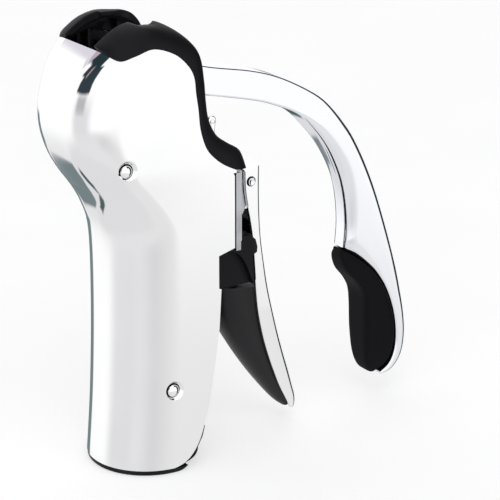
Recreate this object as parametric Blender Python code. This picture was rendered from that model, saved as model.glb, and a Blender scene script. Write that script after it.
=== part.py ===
"""Lever corkscrew: chrome shell, black cheeks, geared lever, lifting worm and a neck clamp.

The design frame is in millimetres. Its Z axis is the worm's axis, Z = 0 is close above the
foot, +X points to the back, where both levers hang, and Y = 0 is the plane of symmetry. The
last step moves the frame so that the footprint's centre is the world's origin.
"""
from math import atan2, ceil, cos, degrees, pi, radians, sin, sqrt, tau

import bmesh
import bpy
from mathutils import Vector
from mathutils.geometry import interpolate_bezier

MM = 0.001
WORM_AXIS_X = -40.2     # world X of the worm's axis, which centres the footprint
FOOT_DROP = 1.6         # the foot ring reaches this far under Z = 0 of the design frame

# casing
HALF_WIDTH = 23.0       # outer half width of the shell
WALL = 1.6              # thickness of the shell's metal
GAP = 0.3               # clearance between neighbouring pieces
CAVITY = WALL + GAP     # inset of whatever fits inside the shell
SHELL_BOTTOM = 0.6
BORE_R = 16.5           # bottle neck passage
LIP_STOP_Z = 74.0       # a bottle's lip comes up to here
CHEEK_IN = 18.2         # inner face of a cheek
CROWN_EDGE = 10.4       # half width of the lever's slot between the two crowns

# gearing: lever sector -> pinion -> rack
PIVOT = (-8.5, 146.0)   # main lever axle
LEVER_SWING = radians(128.0)
SECTOR_R = 17.2
PINION_R = 9.0
PINION_TEETH = 18
RACK_PITCH_X = -3.2
PINION_X = RACK_PITCH_X + PINION_R
PINION_Z = PIVOT[1] - sqrt((SECTOR_R + PINION_R) ** 2 - (PINION_X - PIVOT[0]) ** 2)
PITCH = tau * PINION_R / PINION_TEETH
ADDENDUM = 0.8
DEDENDUM = 1.2
TRAVEL = LEVER_SWING * SECTOR_R
SECTOR_Y = (12.4, 14.4)
PINION_Y = (12.4, 17.3)
RACK_Y = (14.9, 17.3)
AXLE_R = 2.2
STUB_R = 2.0

# carriage and worm
CARRIAGE_BOTTOM = 80.4
CARRIAGE_TOP = 91.0
WORM_LEAD = 9.0
WORM_R = 3.2            # radius of the worm's centre line
WIRE_R = 1.35
WORM_TIP_Z = 35.0
SHANK_R = 2.2

# clamp lever
CLAMP_PIN = (38.2, 102.2)
CLAMP_HALF = 12.0
CLAMP_SHEET = 1.3
PIN_R = 1.5

SIDES = (("left", -1), ("right", 1))
CORNER_STEPS = 7        # facets round each front corner of the casing
SECTION_PITCH = 7.0     # height between the casing's sections

# outlines, as (x, z)
FRONT_LINE = [(0, -24.0), (27, -21.7), (60, -20.2), (88, -20.2), (99, -22.4), (106, -25.6),
              (112, -29.6), (119, -33.4), (127, -36.1), (134, -36.9), (140, -36.1),
              (147.5, -33.9), (153.5, -30.8), (159, -25.8), (166, -17.0)]
CORNER_LINE = [(0, 22.8), (60, 22.0), (90, 21.0), (106, 17.0), (120, 15.0), (145, 15.0),
               (159, 12.5), (166, 11.0)]
CHROME_RIM = [(-25.0, 159.7), (-21.3, 157.3), (-15.8, 158.7), (-8.8, 160.3), (-0.8, 157.6),
              (4.5, 153.1), (7.2, 148.4), (8.0, 142.2), (8.9, 136.2), (9.7, 128.9),
              (12.0, 121.9), (15.4, 117.6), (19.8, 114.2), (24.8, 111.6)]
BLACK_RIM = [(-25.8, 160.9), (-21.4, 164.1), (-16.2, 167.0), (-9.6, 168.2), (-0.6, 166.9),
             (7.0, 162.0), (12.0, 155.0), (13.7, 146.0), (14.3, 138.4), (15.5, 131.2),
             (18.8, 124.8), (23.3, 121.2), (28.8, 117.4), (31.4, 110.8)]
SHELL_BACK = [(24.6, 95.0), (24.4, 82.2), (17.1, 80.2), (17.1, 67.6), (18.1, 67.2),
              (17.2, 52.3), (15.4, 39.6), (12.8, 24.5), (10.8, 16.9), (8.5, 9.7),
              (5.4, 5.0), (1.8, SHELL_BOTTOM)]
ARM_OUTER = [(10, 150.2), (25, 145.9), (43.3, 142.0), (57, 137.3), (71.8, 129.2),
             (79.3, 122.9), (87, 113.8), (91.4, 106.8), (96.1, 97.6), (100.8, 86.6),
             (105.3, 74), (110.1, 59.1), (113.7, 46), (116.5, 32), (117.1, 21.6),
             (115.2, 13.6), (110.6, 8.6), (105.0, 7.6)]
ARM_INNER = [(7, 138.6), (25, 135.0), (43.5, 130.7), (53.3, 127.4), (64.2, 122.2),
             (71, 115.5), (77.3, 107.5), (81.8, 99.6), (85.0, 92), (87.0, 83), (87.8, 73),
             (87.2, 64.2)]
GRIP_SEAM = [(87.2, 63.6), (94.4, 58.6), (100.8, 52.6), (105.6, 46), (109.2, 38),
             (111.4, 30), (111.9, 22), (110.2, 15.8), (107.2, 11.2), (103.8, 9.0)]
GRIP_INNER = [(102.8, 8.8), (98.8, 14.0), (97.0, 20), (96.8, 28), (96.7, 37), (95.8, 43.6),
              (92.8, 48.8), (88.6, 53.8), (86.4, 59.0), (86.2, 62.8)]
CLAMP_BACK = [(42.4, 107.6), (42.3, 99), (42.5, 89), (43.2, 78.5), (44.6, 68.5), (46.2, 59),
              (48.6, 48.5), (51.4, 39), (54.6, 30), (58.0, 21.5), (61.2, 13.4), (63.6, 7.4),
              (63.9, 4.0), (62.9, 2.6)]
CLAMP_FRONT = [(35.6, 107.6), (35.9, 99), (37.4, 90), (39.0, 80), (39.8, 70), (40.6, 59),
               (41.8, 49), (44.4, 38.8), (47.8, 29.5), (51.6, 21.0), (55.2, 14.0), (58.8, 8.0),
               (61.0, 4.4), (61.7, 2.7)]
GRIP_START = 5          # the clamp lever's station where its grip begins
GRIP_FRONT = [(24.5, 61.0), (26.5, 49.5), (33.0, 38.5), (38.6, 29.4), (44.6, 20.6), (50.8, 12.6),
              (56.4, 6.2), (60.2, 3.0)]
SCREWS = {"upper": (-20.4, 118.2), "lower": (-2.6, 31.6)}

PIECES = {}


# ---------------------------------------------------------------- small tools

def clear_scene():
    for item in list(bpy.data.objects):
        bpy.data.objects.remove(item, do_unlink=True)


def make_material(name, colour, metallic, roughness):
    material = bpy.data.materials.new(name)
    material.use_nodes = True
    shader = material.node_tree.nodes["Principled BSDF"]
    shader.inputs["Base Color"].default_value = (*colour, 1.0)
    shader.inputs["Metallic"].default_value = metallic
    shader.inputs["Roughness"].default_value = roughness
    material.diffuse_color = (*colour, 1.0)
    return material


def make_empty(name, x, z, parent=None):
    """An empty on a joint's axis, at (x, 0, z) of the design frame."""
    empty = bpy.data.objects.new(name, None)
    bpy.context.collection.objects.link(empty)
    empty["design_x"] = x
    empty["design_z"] = z
    if parent is None:
        empty.location = (x * MM, 0.0, z * MM)
    else:
        empty.parent = parent
        offset_x = x - parent["design_x"]
        offset_z = z - parent["design_z"]
        empty.location = (offset_x * MM, 0.0, offset_z * MM)
    return empty


def add_piece(name, bm, parent, material, smooth=35.0):
    """Turn a bmesh in design millimetres into a named object under its joint's empty."""
    bmesh.ops.remove_doubles(bm, verts=bm.verts, dist=0.001)
    bmesh.ops.recalc_face_normals(bm, faces=bm.faces)
    bmesh.ops.translate(bm, verts=bm.verts, vec=(-parent["design_x"], 0.0, -parent["design_z"]))
    bmesh.ops.scale(bm, verts=bm.verts, vec=(MM, MM, MM))
    mesh = bpy.data.meshes.new(name)
    bm.to_mesh(mesh)
    bm.free()
    mesh.shade_smooth()
    mesh.set_sharp_from_angle(angle=radians(smooth))
    piece = bpy.data.objects.new(name, mesh)
    bpy.context.collection.objects.link(piece)
    piece.parent = parent
    piece.data.materials.append(material)
    PIECES[name] = piece
    return piece


def add_tool(name, bm, parent):
    """A hidden solid that only cuts, joins or trims another one."""
    tool = add_piece(name, bm, parent, PIECES["tool_material"])
    del PIECES[name]
    tool.hide_render = True
    tool.display_type = "WIRE"
    return tool


def boolean(piece, tool, operation):
    modifier = piece.modifiers.new(f"{operation}_{tool.name}", "BOOLEAN")
    modifier.operation = operation
    modifier.solver = "EXACT"
    modifier.object = tool


def bevel(piece, width, segments=2, angle=40.0):
    modifier = piece.modifiers.new("edges", "BEVEL")
    modifier.width = width * MM
    modifier.segments = segments
    modifier.limit_method = "ANGLE"
    modifier.angle_limit = radians(angle)


def curve_through(points, steps):
    """A smooth curve through the points, with the given number of steps between each two."""
    result = []
    count = len(points)
    for index in range(count - 1):
        before = Vector(points[max(index - 1, 0)])
        start = Vector(points[index])
        end = Vector(points[index + 1])
        after = Vector(points[min(index + 2, count - 1)])
        leave = start + (end - before) / 6.0
        arrive = end - (after - start) / 6.0
        stretch = interpolate_bezier(start.to_3d(), leave.to_3d(), arrive.to_3d(),
                                     end.to_3d(), steps + 1)
        result.extend((p.x, p.y) for p in stretch[:-1])
    result.append(tuple(points[-1]))
    return result


def value_on(line, at):
    """The smooth line's value at a height; line lists (height, value)."""
    samples = SMOOTH[id(line)]
    if at <= samples[0][0]:
        return samples[0][1]
    for low, high in zip(samples, samples[1:]):
        if at <= high[0]:
            share = (at - low[0]) / (high[0] - low[0])
            return low[1] + share * (high[1] - low[1])
    return samples[-1][1]


SMOOTH = {id(line): curve_through(line, 6) for line in (FRONT_LINE, CORNER_LINE)}


def arc(centre, radius, start, end, steps):
    """Points on a circle from one angle to another, both in degrees."""
    points = []
    for index in range(steps + 1):
        angle = radians(start + (end - start) * index / steps)
        points.append((centre[0] + radius * cos(angle), centre[1] + radius * sin(angle)))
    return points


def prism(outline, low, high):
    """Extrude an (x, z) outline along Y."""
    bm = bmesh.new()
    rings = [[bm.verts.new((x, y, z)) for x, z in outline] for y in (low, high)]
    for index in range(len(outline)):
        after = (index + 1) % len(outline)
        bm.faces.new((rings[0][index], rings[0][after], rings[1][after], rings[1][index]))
    bm.faces.new(rings[0])
    bm.faces.new(rings[1])
    return bm


def plan_prism(outline, low, high):
    """Extrude an (x, y) outline along Z."""
    bm = bmesh.new()
    skin(bm, [[(x, y, z) for x, y in outline] for z in (low, high)])
    return bm


def block(x, y, z):
    """A box between two x, two y and two z values."""
    return prism([(x[0], z[0]), (x[1], z[0]), (x[1], z[1]), (x[0], z[1])], y[0], y[1])


def skin(bm, sections, closed_ends=True):
    """Join equal rings of vertices into one skin and cap its two ends."""
    rings = [[bm.verts.new(point) for point in section] for section in sections]
    for low, high in zip(rings, rings[1:]):
        for index in range(len(low)):
            after = (index + 1) % len(low)
            bm.faces.new((low[index], low[after], high[after], high[index]))
    if closed_ends:
        bm.faces.new(rings[0])
        bm.faces.new(rings[-1])


def turned(profile, centre, axis="Y", segments=24, bm=None):
    """Turn a profile of (radius, along) points about an axis through centre."""
    bm = bm or bmesh.new()

    def place(radius, along, angle):
        u = radius * cos(angle)
        v = radius * sin(angle)
        if axis == "Y":
            return (centre[0] + u, along, centre[1] + v)
        return (centre[0] + u, centre[1] + v, along)

    def ring(radius, along):
        if radius == 0:
            return [bm.verts.new(place(0, along, 0))]
        return [bm.verts.new(place(radius, along, tau * k / segments)) for k in range(segments)]

    rings = [ring(*point) for point in profile]
    if profile[0][0] > 0:
        rings.append(rings[0])
    for low, high in zip(rings, rings[1:]):
        for k in range(segments):
            corners = [low[k % len(low)], low[(k + 1) % len(low)],
                       high[(k + 1) % len(high)], high[k % len(high)]]
            bm.faces.new(list(dict.fromkeys(corners)))
    return bm


def disc(radius, low, high, chamfer=0.0):
    """Profile of a solid round bar, with chamfered ends."""
    if chamfer == 0:
        return [(0, low), (radius, low), (radius, high), (0, high)]
    return [(0, low), (radius - chamfer, low), (radius, low + chamfer),
            (radius, high - chamfer), (radius - chamfer, high), (0, high)]


def mirrored(side, values):
    """A pair of Y values on one side of the plane of symmetry, lowest first."""
    return tuple(sorted(side * value for value in values))


# ---------------------------------------------------------------- the casing's plan outline

def plan_section(z, inset, back, low_z=None):
    """The casing's outline in plan at one height, from the near rear edge round to the far one."""
    half = HALF_WIDTH - inset
    corner = max(value_on(CORNER_LINE, z) - inset, 1.0)
    front = value_on(FRONT_LINE, z) + inset
    centre_x = front + corner
    steps = CORNER_STEPS
    points = [(back, -half)]
    for index in range(steps + 1):
        angle = radians(270.0 - 90.0 * index / steps)
        points.append((centre_x + corner * cos(angle), -(half - corner) + corner * sin(angle)))
    for index in range(steps + 1):
        angle = radians(180.0 - 90.0 * index / steps)
        points.append((centre_x + corner * cos(angle), (half - corner) + corner * sin(angle)))
    points.append((back, half))
    height = z if low_z is None else low_z
    return [(x, y, height) for x, y in points]


def half_width_at(x, z, inset):
    """The casing's half width at one place along X."""
    half = HALF_WIDTH - inset
    corner = max(value_on(CORNER_LINE, z) - inset, 1.0)
    reach = x - (value_on(FRONT_LINE, z) + inset)
    if reach >= corner:
        return half
    if reach <= 0:
        return 0.0
    return half - corner + sqrt(corner ** 2 - (corner - reach) ** 2)


def casing_heights(low, high):
    count = ceil((high - low) / SECTION_PITCH)
    return [low + (high - low) * index / count for index in range(count + 1)]


def solid_casing(inset, low, high, back=60.0):
    """The whole casing as a solid, shrunk by the inset."""
    bm = bmesh.new()
    skin(bm, [plan_section(z, inset, back) for z in casing_heights(low, high)])
    return bm


# ---------------------------------------------------------------- casing pieces

def chrome_shell(body, material):
    """Formed shell: round front, open back, bulged head."""
    back = 60.0
    bm = bmesh.new()
    sections = []
    for z in casing_heights(SHELL_BOTTOM, 165.0):
        outer = plan_section(z, 0.0, back)
        inner = plan_section(z, WALL, back)
        sections.append(outer + inner[::-1])
    skin(bm, sections)
    shell = add_piece("chrome_shell", bm, body, material)
    rim = curve_through(CHROME_RIM, 3)
    back_edge = SHELL_BACK[:5] + curve_through(SHELL_BACK[5:], 2)
    outline = [(-60, SHELL_BOTTOM - 1), (-60, rim[0][1])] + rim + back_edge
    outline.append((SHELL_BACK[-1][0], SHELL_BOTTOM - 1))
    trim = add_tool("shell_trim", prism(outline, -40, 40), body)
    boolean(shell, trim, "INTERSECT")
    for label, side in SIDES:
        for name, (x, z) in SCREWS.items():
            surface = HALF_WIDTH + 0.2
            profile = [(0, side * surface), (4.1, side * surface), (3.5, side * (surface - 0.7)),
                       (2.9, side * (surface - 0.9)), (2.9, side * (HALF_WIDTH - 2.6)),
                       (0, side * (HALF_WIDTH - 2.6))]
            hole = add_tool(f"{name}_{label}_recess", turned(profile, (x, z), segments=20), body)
            boolean(shell, hole, "DIFFERENCE")


def shell_screw(name, place, side, body, material):
    """Domed button screw through the shell."""
    head = HALF_WIDTH - 0.5
    profile = [(0, side * (HALF_WIDTH + 0.55)), (1.2, side * (HALF_WIDTH + 0.4)),
               (2.1, side * (HALF_WIDTH + 0.05)), (2.6, side * head), (2.6, side * (head - 0.5)),
               (1.6, side * (head - 0.5)), (1.6, side * (HALF_WIDTH - 4.5)),
               (0, side * (HALF_WIDTH - 4.5))]
    add_piece(name, turned(profile, place, segments=16), body, material)


def crown_sections(side):
    """Sections of a cheek's crown: a rounded shoulder from the shell's rim to the slot's edge."""
    steps = 6
    low_line = curve_through(CHROME_RIM, 3)
    high_line = curve_through(BLACK_RIM, 3)
    sections = []
    for low, high in zip(low_line, high_line):
        rise = Vector((high[0] - low[0], high[1] - low[1]))
        out = rise.normalized()
        height = rise.length
        start = Vector(low) + out * GAP
        outer_y = half_width_at(low[0], low[1], 0.0) - GAP
        cavity_y = half_width_at(low[0], low[1], CAVITY + 0.2)
        seated = cavity_y > 13.0
        open_share = min(max((high[0] - 1.0) / 10.0, 0.0), 1.0)
        edge_y = min(CROWN_EDGE + (CHEEK_IN - CROWN_EDGE) * open_share, outer_y - 2.4)
        if seated:
            edge_y = min(edge_y, cavity_y - 1.6)
        inner_y = cavity_y if seated else edge_y + 1.6
        seat_depth = 1.2 if seated else 0.05
        lip = min(2.6, 0.4 * height)
        points = []
        for index in range(steps + 1):
            angle = radians(90.0 * index / steps)
            points.append((height * sin(angle) - GAP, edge_y + (outer_y - edge_y) * cos(angle)))
        points.append((height - lip, edge_y))
        points.append((height - lip - 0.6, edge_y + 0.6))
        seat_y = max(min(CHEEK_IN, inner_y - 0.8), edge_y + 0.7)
        points += [(-seat_depth, seat_y), (-seat_depth, inner_y), (0.0, inner_y)]
        section = []
        for offset, y in points:
            spot = start + out * offset
            section.append((spot.x, side * y, spot.y))
        sections.append(section)
    return sections


def cheek_reliefs(side):
    """Room under a crown for the turning sector and for the raised rack."""
    swing = disc(SECTOR_R + ADDENDUM + 0.5, *mirrored(side, (10.0, 14.8)))
    raised = PINION_Z + rack_phase() + PITCH * 0.42 + TRAVEL
    slot = block((-6.5, -1.8), mirrored(side, (14.4, 17.7)), (130.0, raised + 0.5))
    return {"gear_relief": turned(swing, PIVOT, segments=40), "rack_relief": slot}


def cheek(label, side, body, material):
    """Black cheek: a plate inside the shell, with its crown, a rib pair and a tail."""
    rim = curve_through(CHROME_RIM, 3)
    top = [(x - 0.4, z - 0.9) for x, z in rim[3:]]
    tail = [(24.0, 96), (23.4, 84.0), (16.0, 81.6), (-60, 81.6)]
    outline = [(-60, 96), (-60, 157.4)] + top + tail
    plate = prism(outline, *mirrored(side, (CHEEK_IN, 40.0)))
    piece = add_piece(f"{label}_cheek", plate, body, material)
    boolean(piece, PIECES["cavity"], "INTERSECT")
    bm = bmesh.new()
    skin(bm, crown_sections(side)[1:])
    boolean(piece, add_tool(f"{label}_crown", bm, body), "UNION")
    for name, relief in cheek_reliefs(side).items():
        boolean(piece, add_tool(f"{label}_{name}", relief, body), "DIFFERENCE")
    for index, x in enumerate((-9.4, -1.6)):
        rib = block((x, x + 2.6), mirrored(side, (15.2, 18.8)), (133.5, 156.0))
        boolean(piece, add_tool(f"{label}_rib_{index}", rib, body), "UNION")
    for name, centre, radius in (("axle", PIVOT, AXLE_R), ("stub", (PINION_X, PINION_Z), STUB_R),
                                 ("screw", SCREWS["upper"], 1.6)):
        bore = turned(disc(radius + GAP, *mirrored(side, (10.0, 21.6))), centre, segments=20)
        boolean(piece, add_tool(f"{label}_{name}_bore", bore, body), "DIFFERENCE")


def neck_liner(body, material):
    """Black liner that guides the bottle's neck, with its foot ring."""
    outline = [(-60, -5.0), (-60, 70.0), (2.0, 70.0), (9.0, 63.0), (14.0, 52.0), (13.6, 39.6),
               (11.4, 24.5), (9.4, 16.9), (7.2, 9.7), (4.2, 5.0), (0.0, -5.0)]
    liner = add_piece("neck_liner", solid_casing(CAVITY, 1.0, 71.0), body, material)
    boolean(liner, add_tool("liner_trim", prism(outline, -40, 40), body), "INTERSECT")
    foot = bmesh.new()
    foot_levels = ((-FOOT_DROP, 1.1), (0.5 - FOOT_DROP, 0.45), (SHELL_BOTTOM - GAP, 0.2))
    skin(foot, [plan_section(0.0, inset, 0.5, height) for height, inset in foot_levels])
    boolean(liner, add_tool("liner_foot", foot, body), "UNION")
    stadium = arc((0, 0), BORE_R, 90, 270, 20) + [(60, -BORE_R), (60, BORE_R)]
    boolean(liner, add_tool("liner_passage", plan_prism(stadium, -5, 90), body), "DIFFERENCE")
    ring_in = BORE_R - 0.3
    ring_low = 0.05 - FOOT_DROP
    ring = turned([(ring_in, ring_low), (17.9, ring_low), (18.3, ring_low + 0.5), (18.3, 5.0),
                   (17.6, 5.8), (ring_in, 5.8)], (0, 0), "Z", 36)
    boolean(liner, add_tool("liner_ring", ring, body), "UNION")
    for label, side in SIDES:
        bore = turned(disc(1.6 + GAP, *mirrored(side, (17.0, 24.0))), SCREWS["lower"], segments=16)
        boolean(liner, add_tool(f"{label}_liner_bore", bore, body), "DIFFERENCE")


def neck_pad(body, material):
    """Soft pad at the front of the passage, where the clamped neck is pressed."""
    sections = []
    for z in (56.0, 69.4):
        outer = arc((0, 0), BORE_R - GAP, 130, 230, 10)
        inner = arc((0, 0), BORE_R - 1.9, 230, 130, 10)
        sections.append([(x, y, z) for x, y in outer + inner])
    bm = bmesh.new()
    skin(bm, sections)
    add_piece("neck_pad", bm, body, material)


def nut_bridge(body, material):
    """Cross plate above the bottle's lip, which carries the worm's nut."""
    plate = block((-60, 12.0), (-40, 40), (LIP_STOP_Z, 78.6))
    bridge = add_piece("nut_bridge", plate, body, material)
    boolean(bridge, PIECES["cavity"], "INTERSECT")
    seat = turned(disc(7.5, 70, 90), (0, 0), "Z", 28)
    boolean(bridge, add_tool("bridge_seat", seat, body), "DIFFERENCE")


def worm_nut(body, material):
    """Flanged brass nut that the worm turns through."""
    profile = [(5.2, LIP_STOP_Z - 0.6), (6.6, LIP_STOP_Z - 0.6), (7.2, LIP_STOP_Z), (7.2, 78.9),
               (9.0, 78.9), (9.0, 79.9), (8.7, 80.1), (5.2, 80.1)]
    add_piece("worm_nut", turned(profile, (0, 0), "Z", 28), body, material)


def lever_axle(body, material):
    """Steel pin that the main lever turns on."""
    pin = turned(disc(AXLE_R, -20.9, 20.9, 0.4), PIVOT, segments=18)
    add_piece("lever_axle", pin, body, material)


def pinion_axle(label, side, body, material):
    """Stub axle of one pinion, pressed into its cheek."""
    low, high = mirrored(side, (12.5, 20.9))
    centre = (PINION_X, PINION_Z)
    stub = turned(disc(STUB_R, low, high, 0.3), centre, segments=16)
    add_piece(f"{label}_pinion_axle", stub, body, material)


def rear_bracket(body, material):
    """Pressed bracket across the back, whose two lugs hold the clamp lever's pin."""
    plate = block((25.2, 27.0), (-20.8, 20.8), (86.0, 110.4))
    web = add_piece("rear_bracket", plate, body, material)
    for label, side in SIDES:
        wing = block((25.2, 28.4), mirrored(side, (19.4, 20.8)), (83.4, 110.4))
        boolean(web, add_tool(f"{label}_bracket_wing", wing, body), "UNION")
        outline = [(26.0, 106.0), (26.0, 93.0), (36.0, 98.6), (39.4, 99.4), (40.4, 100.6),
                   (40.4, 104.2), (39.2, 105.6)]
        lug = prism(outline, *mirrored(side, (8.6, 10.3)))
        boolean(web, add_tool(f"{label}_bracket_lug", lug, body), "UNION")
    bore = turned(disc(PIN_R + GAP, -14, 14), CLAMP_PIN, segments=20)
    boolean(web, add_tool("bracket_bore", bore, body), "DIFFERENCE")


def clamp_pin(body, material):
    """Pin of the clamp lever, with a flat head at each end."""
    reach = CLAMP_HALF + 0.9
    rim = PIN_R + 0.5
    profile = [(0, -reach), (PIN_R, -reach), (rim, -reach + 0.25), (rim, -CLAMP_HALF - GAP),
               (PIN_R, -CLAMP_HALF - GAP), (PIN_R, CLAMP_HALF + GAP), (rim, CLAMP_HALF + GAP),
               (rim, reach - 0.25), (PIN_R, reach), (0, reach)]
    add_piece("clamp_pin", turned(profile, CLAMP_PIN, segments=18), body, material)


def rest_tab(label, side, body, material):
    """Small riveted stop at the back of the head, where the lever comes to rest."""
    outline = [(16.2, 116.8), (19.4, 121.0)] + arc((18.9, 129.3), 1.7, -20, 180, 8)
    outline.append((17.2, 121.4))
    plate = prism(outline, *mirrored(side, (15.0, 16.2)))
    tab = add_piece(f"{label}_rest_tab", plate, body, material)
    rivet_y = mirrored(side, (14.6, 16.6))
    rivet = turned(disc(0.9, *rivet_y, 0.2), (18.9, 128.9), segments=12)
    boolean(tab, add_tool(f"{label}_tab_rivet", rivet, body), "UNION")


def clamp_spring(body, material):
    """Torsion spring round the clamp pin that holds the clamp lever open."""
    wire = 0.4
    coil = PIN_R + GAP + wire
    turns = 5.25
    steps = 52
    reach = 7.4
    points = [(28.0, -reach, CLAMP_PIN[1] + coil)]
    for index in range(steps + 1):
        share = index / steps
        angle = pi / 2 - tau * turns * share
        points.append((CLAMP_PIN[0] + coil * cos(angle), reach * (2 * share - 1),
                       CLAMP_PIN[1] + coil * sin(angle)))
    points.append((CLAMP_PIN[0] + coil - 0.5, reach, 98.4))
    add_piece("clamp_spring", swept(points, [wire] * len(points), 5), body, material)


def swept(points, radii, sides):
    """A round bar along the points, with a radius at each."""
    bm = bmesh.new()
    spots = [Vector(p) for p in points]
    across = None
    sections = []
    for index, spot in enumerate(spots):
        before = spots[max(index - 1, 0)]
        after = spots[min(index + 1, len(spots) - 1)]
        along = (after - before).normalized()
        if across is None:
            across = along.orthogonal().normalized()
        across = (across - along * across.dot(along)).normalized()
        third = along.cross(across)
        ring = []
        for k in range(sides):
            angle = tau * k / sides
            ring.append(spot + (across * cos(angle) + third * sin(angle)) * radii[index])
        sections.append(ring)
    skin(bm, sections)
    return bm


# ---------------------------------------------------------------- gears

def tooth_outline(radius, centre, first, last, count):
    """Arc of trapezoid teeth from the angle first to last, in radians."""
    tip = radius + ADDENDUM
    root = radius - DEDENDUM
    half_width = PITCH * 0.2
    points = []
    for index in range(count):
        angle = first + (last - first) * index / max(count - 1, 1)
        for reach, offset in ((root, -half_width * 1.5), (tip, -half_width * 0.62),
                              (tip, half_width * 0.62), (root, half_width * 1.5)):
            turn = angle + offset / radius
            points.append((centre[0] + reach * cos(turn), centre[1] + reach * sin(turn)))
    return points


def mesh_angle():
    """Direction from the lever's axle to a pinion's axle."""
    return atan2(PINION_Z - PIVOT[1], PINION_X - PIVOT[0])


def sector_gear(label, side, body, material):
    """Toothed sector fixed to the lever's hub."""
    step = PITCH / SECTOR_R
    after = ceil(LEVER_SWING / step) + 1
    first = mesh_angle() - after * step
    last = mesh_angle() + step
    outline = tooth_outline(SECTOR_R, PIVOT, first, last, after + 2)
    hub_r = 6.0
    outline += arc(PIVOT, hub_r, degrees(last), degrees(first) + 360.0, 8)
    plate = prism(outline, *mirrored(side, SECTOR_Y))
    gear = add_piece(f"{label}_sector_gear", plate, body, material)
    bore = turned(disc(AXLE_R + GAP, -20, 20), PIVOT, segments=18)
    boolean(gear, add_tool(f"{label}_sector_bore", bore, body), "DIFFERENCE")


def pinion(label, side, body, material):
    """Pinion between the lever's sector and the carriage's rack."""
    step = tau / PINION_TEETH
    first = mesh_angle() + pi + step / 2
    centre = (PINION_X, PINION_Z)
    outline = tooth_outline(PINION_R, centre, first, first + tau - step, PINION_TEETH)
    gear = add_piece(f"{label}_pinion", prism(outline, *mirrored(side, PINION_Y)), body, material)
    bore = turned(disc(STUB_R + GAP, *mirrored(side, (10, 20))), centre, segments=18)
    boolean(gear, add_tool(f"{label}_pinion_bore", bore, body), "DIFFERENCE")


def rack_phase():
    """Height of a rack tooth from the pinion's axle: the middle of a gap in the pinion."""
    step = tau / PINION_TEETH
    gap = mesh_angle() + pi
    while gap < pi - step / 2:
        gap += step
    return -(gap - pi) * PINION_R


def rack(label, side, body, material):
    """Toothed rack at one side of the carriage."""
    back = -6.0
    root = RACK_PITCH_X - DEDENDUM
    tip = RACK_PITCH_X + ADDENDUM - 0.1
    first = PINION_Z + rack_phase() - ceil((TRAVEL + 1.0) / PITCH) * PITCH
    count = ceil((TRAVEL + 1.0) / PITCH) + 1
    outline = [(back, first - PITCH / 2), (root, first - PITCH / 2)]
    for index in range(count):
        z = first + index * PITCH
        outline += [(root, z - PITCH * 0.3), (tip, z - PITCH * 0.125),
                    (tip, z + PITCH * 0.125), (root, z + PITCH * 0.3)]
    top = first + (count - 1) * PITCH + PITCH * 0.42
    outline += [(root, top), (back, top)]
    add_piece(f"{label}_rack", prism(outline, *mirrored(side, RACK_Y)), body, material)


# ---------------------------------------------------------------- main lever

def lever_arm(body, material):
    """Chrome arm: hub collar, swept bar and the back strip behind the grip."""
    outer = curve_through(ARM_OUTER, 2)
    inner = curve_through(ARM_INNER, 2)
    seam = [(x + 0.25, z - 0.15) for x, z in curve_through(GRIP_SEAM, 2)]
    hub = arc(PIVOT, 8.0, 298, 58, 14)
    outline = hub + outer + seam[::-1] + inner[::-1]
    arm = add_piece("lever_arm", prism(outline, -6.0, 6.0), body, material)
    taper_lever(arm, body)
    bevel(arm, 1.3, 2, 50.0)
    collar = add_tool("lever_collar", turned(disc(7.2, -12.1, 12.1, 0.4), PIVOT, segments=24), body)
    boolean(arm, collar, "UNION")
    bore = turned(disc(AXLE_R + 1.2 + GAP, -20, 20), PIVOT, segments=20)
    boolean(arm, add_tool("lever_bore", bore, body), "DIFFERENCE")


def taper_lever(arm, body):
    """Narrow the bar towards the hub."""
    root_half = 4.6
    for vertex in arm.data.vertices:
        x = vertex.co.x / MM + body["design_x"]
        share = min(max((x - 20.0) / 60.0, 0.0), 1.0)
        half = root_half + (6.0 - root_half) * share
        vertex.co.y = vertex.co.y / 6.0 * half


def lever_bushing(label, side, body, material):
    """Bronze bush between the lever's hub and its axle."""
    inner = AXLE_R + GAP
    outer = AXLE_R + 1.2
    low, high = mirrored(side, (0.4, 12.0))
    profile = [(inner, low), (outer, low), (outer, high), (inner, high)]
    add_piece(f"{label}_lever_bush", turned(profile, PIVOT, segments=20), body, material)


def lever_grip(body, material):
    """Black grip moulded into the inner side of the lever's end."""
    seam = curve_through(GRIP_SEAM, 2)
    inner = curve_through(GRIP_INNER, 2)
    outline = seam + inner
    middle = Vector((101.5, 32.0))
    bm = bmesh.new()
    sections = []
    half = 7.6
    levels = 10
    for index in range(levels + 1):
        angle = pi * (index / levels - 0.5)
        y = half * sin(angle)
        shrink = 0.62 + 0.38 * sqrt(max(cos(angle), 0.0)) if 0 < index < levels else 0.62
        ring = []
        for x, z in outline:
            spot = middle + (Vector((x, z)) - middle) * (1.0 - (1.0 - shrink) * 0.55)
            ring.append((spot.x, y, spot.y))
        sections.append(ring)
    skin(bm, sections)
    add_piece("lever_grip", bm, body, material, 60.0)


# ---------------------------------------------------------------- carriage and worm

def carriage_block(body, material):
    """Sliding block that carries the worm's upper end."""
    core = block((-9.5, 8.0), (-12.0, 12.0), (CARRIAGE_BOTTOM, CARRIAGE_TOP))
    main = add_piece("carriage_block", core, body, material)
    bevel(main, 0.8, 1)
    arms = block((-9.5, -4.6), (-14.6, 14.6), (CARRIAGE_BOTTOM + 0.6, 88.2))
    boolean(main, add_tool("carriage_arms", arms, body), "UNION")
    bore = turned(disc(SHANK_R + GAP, 70, 100), (0, 0), "Z", 20)
    boolean(main, add_tool("carriage_bore", bore, body), "DIFFERENCE")
    pocket = turned(disc(5.3, CARRIAGE_TOP - 3.0, 100), (0, 0), "Z", 24)
    boolean(main, add_tool("carriage_pocket", pocket, body), "DIFFERENCE")


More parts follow.
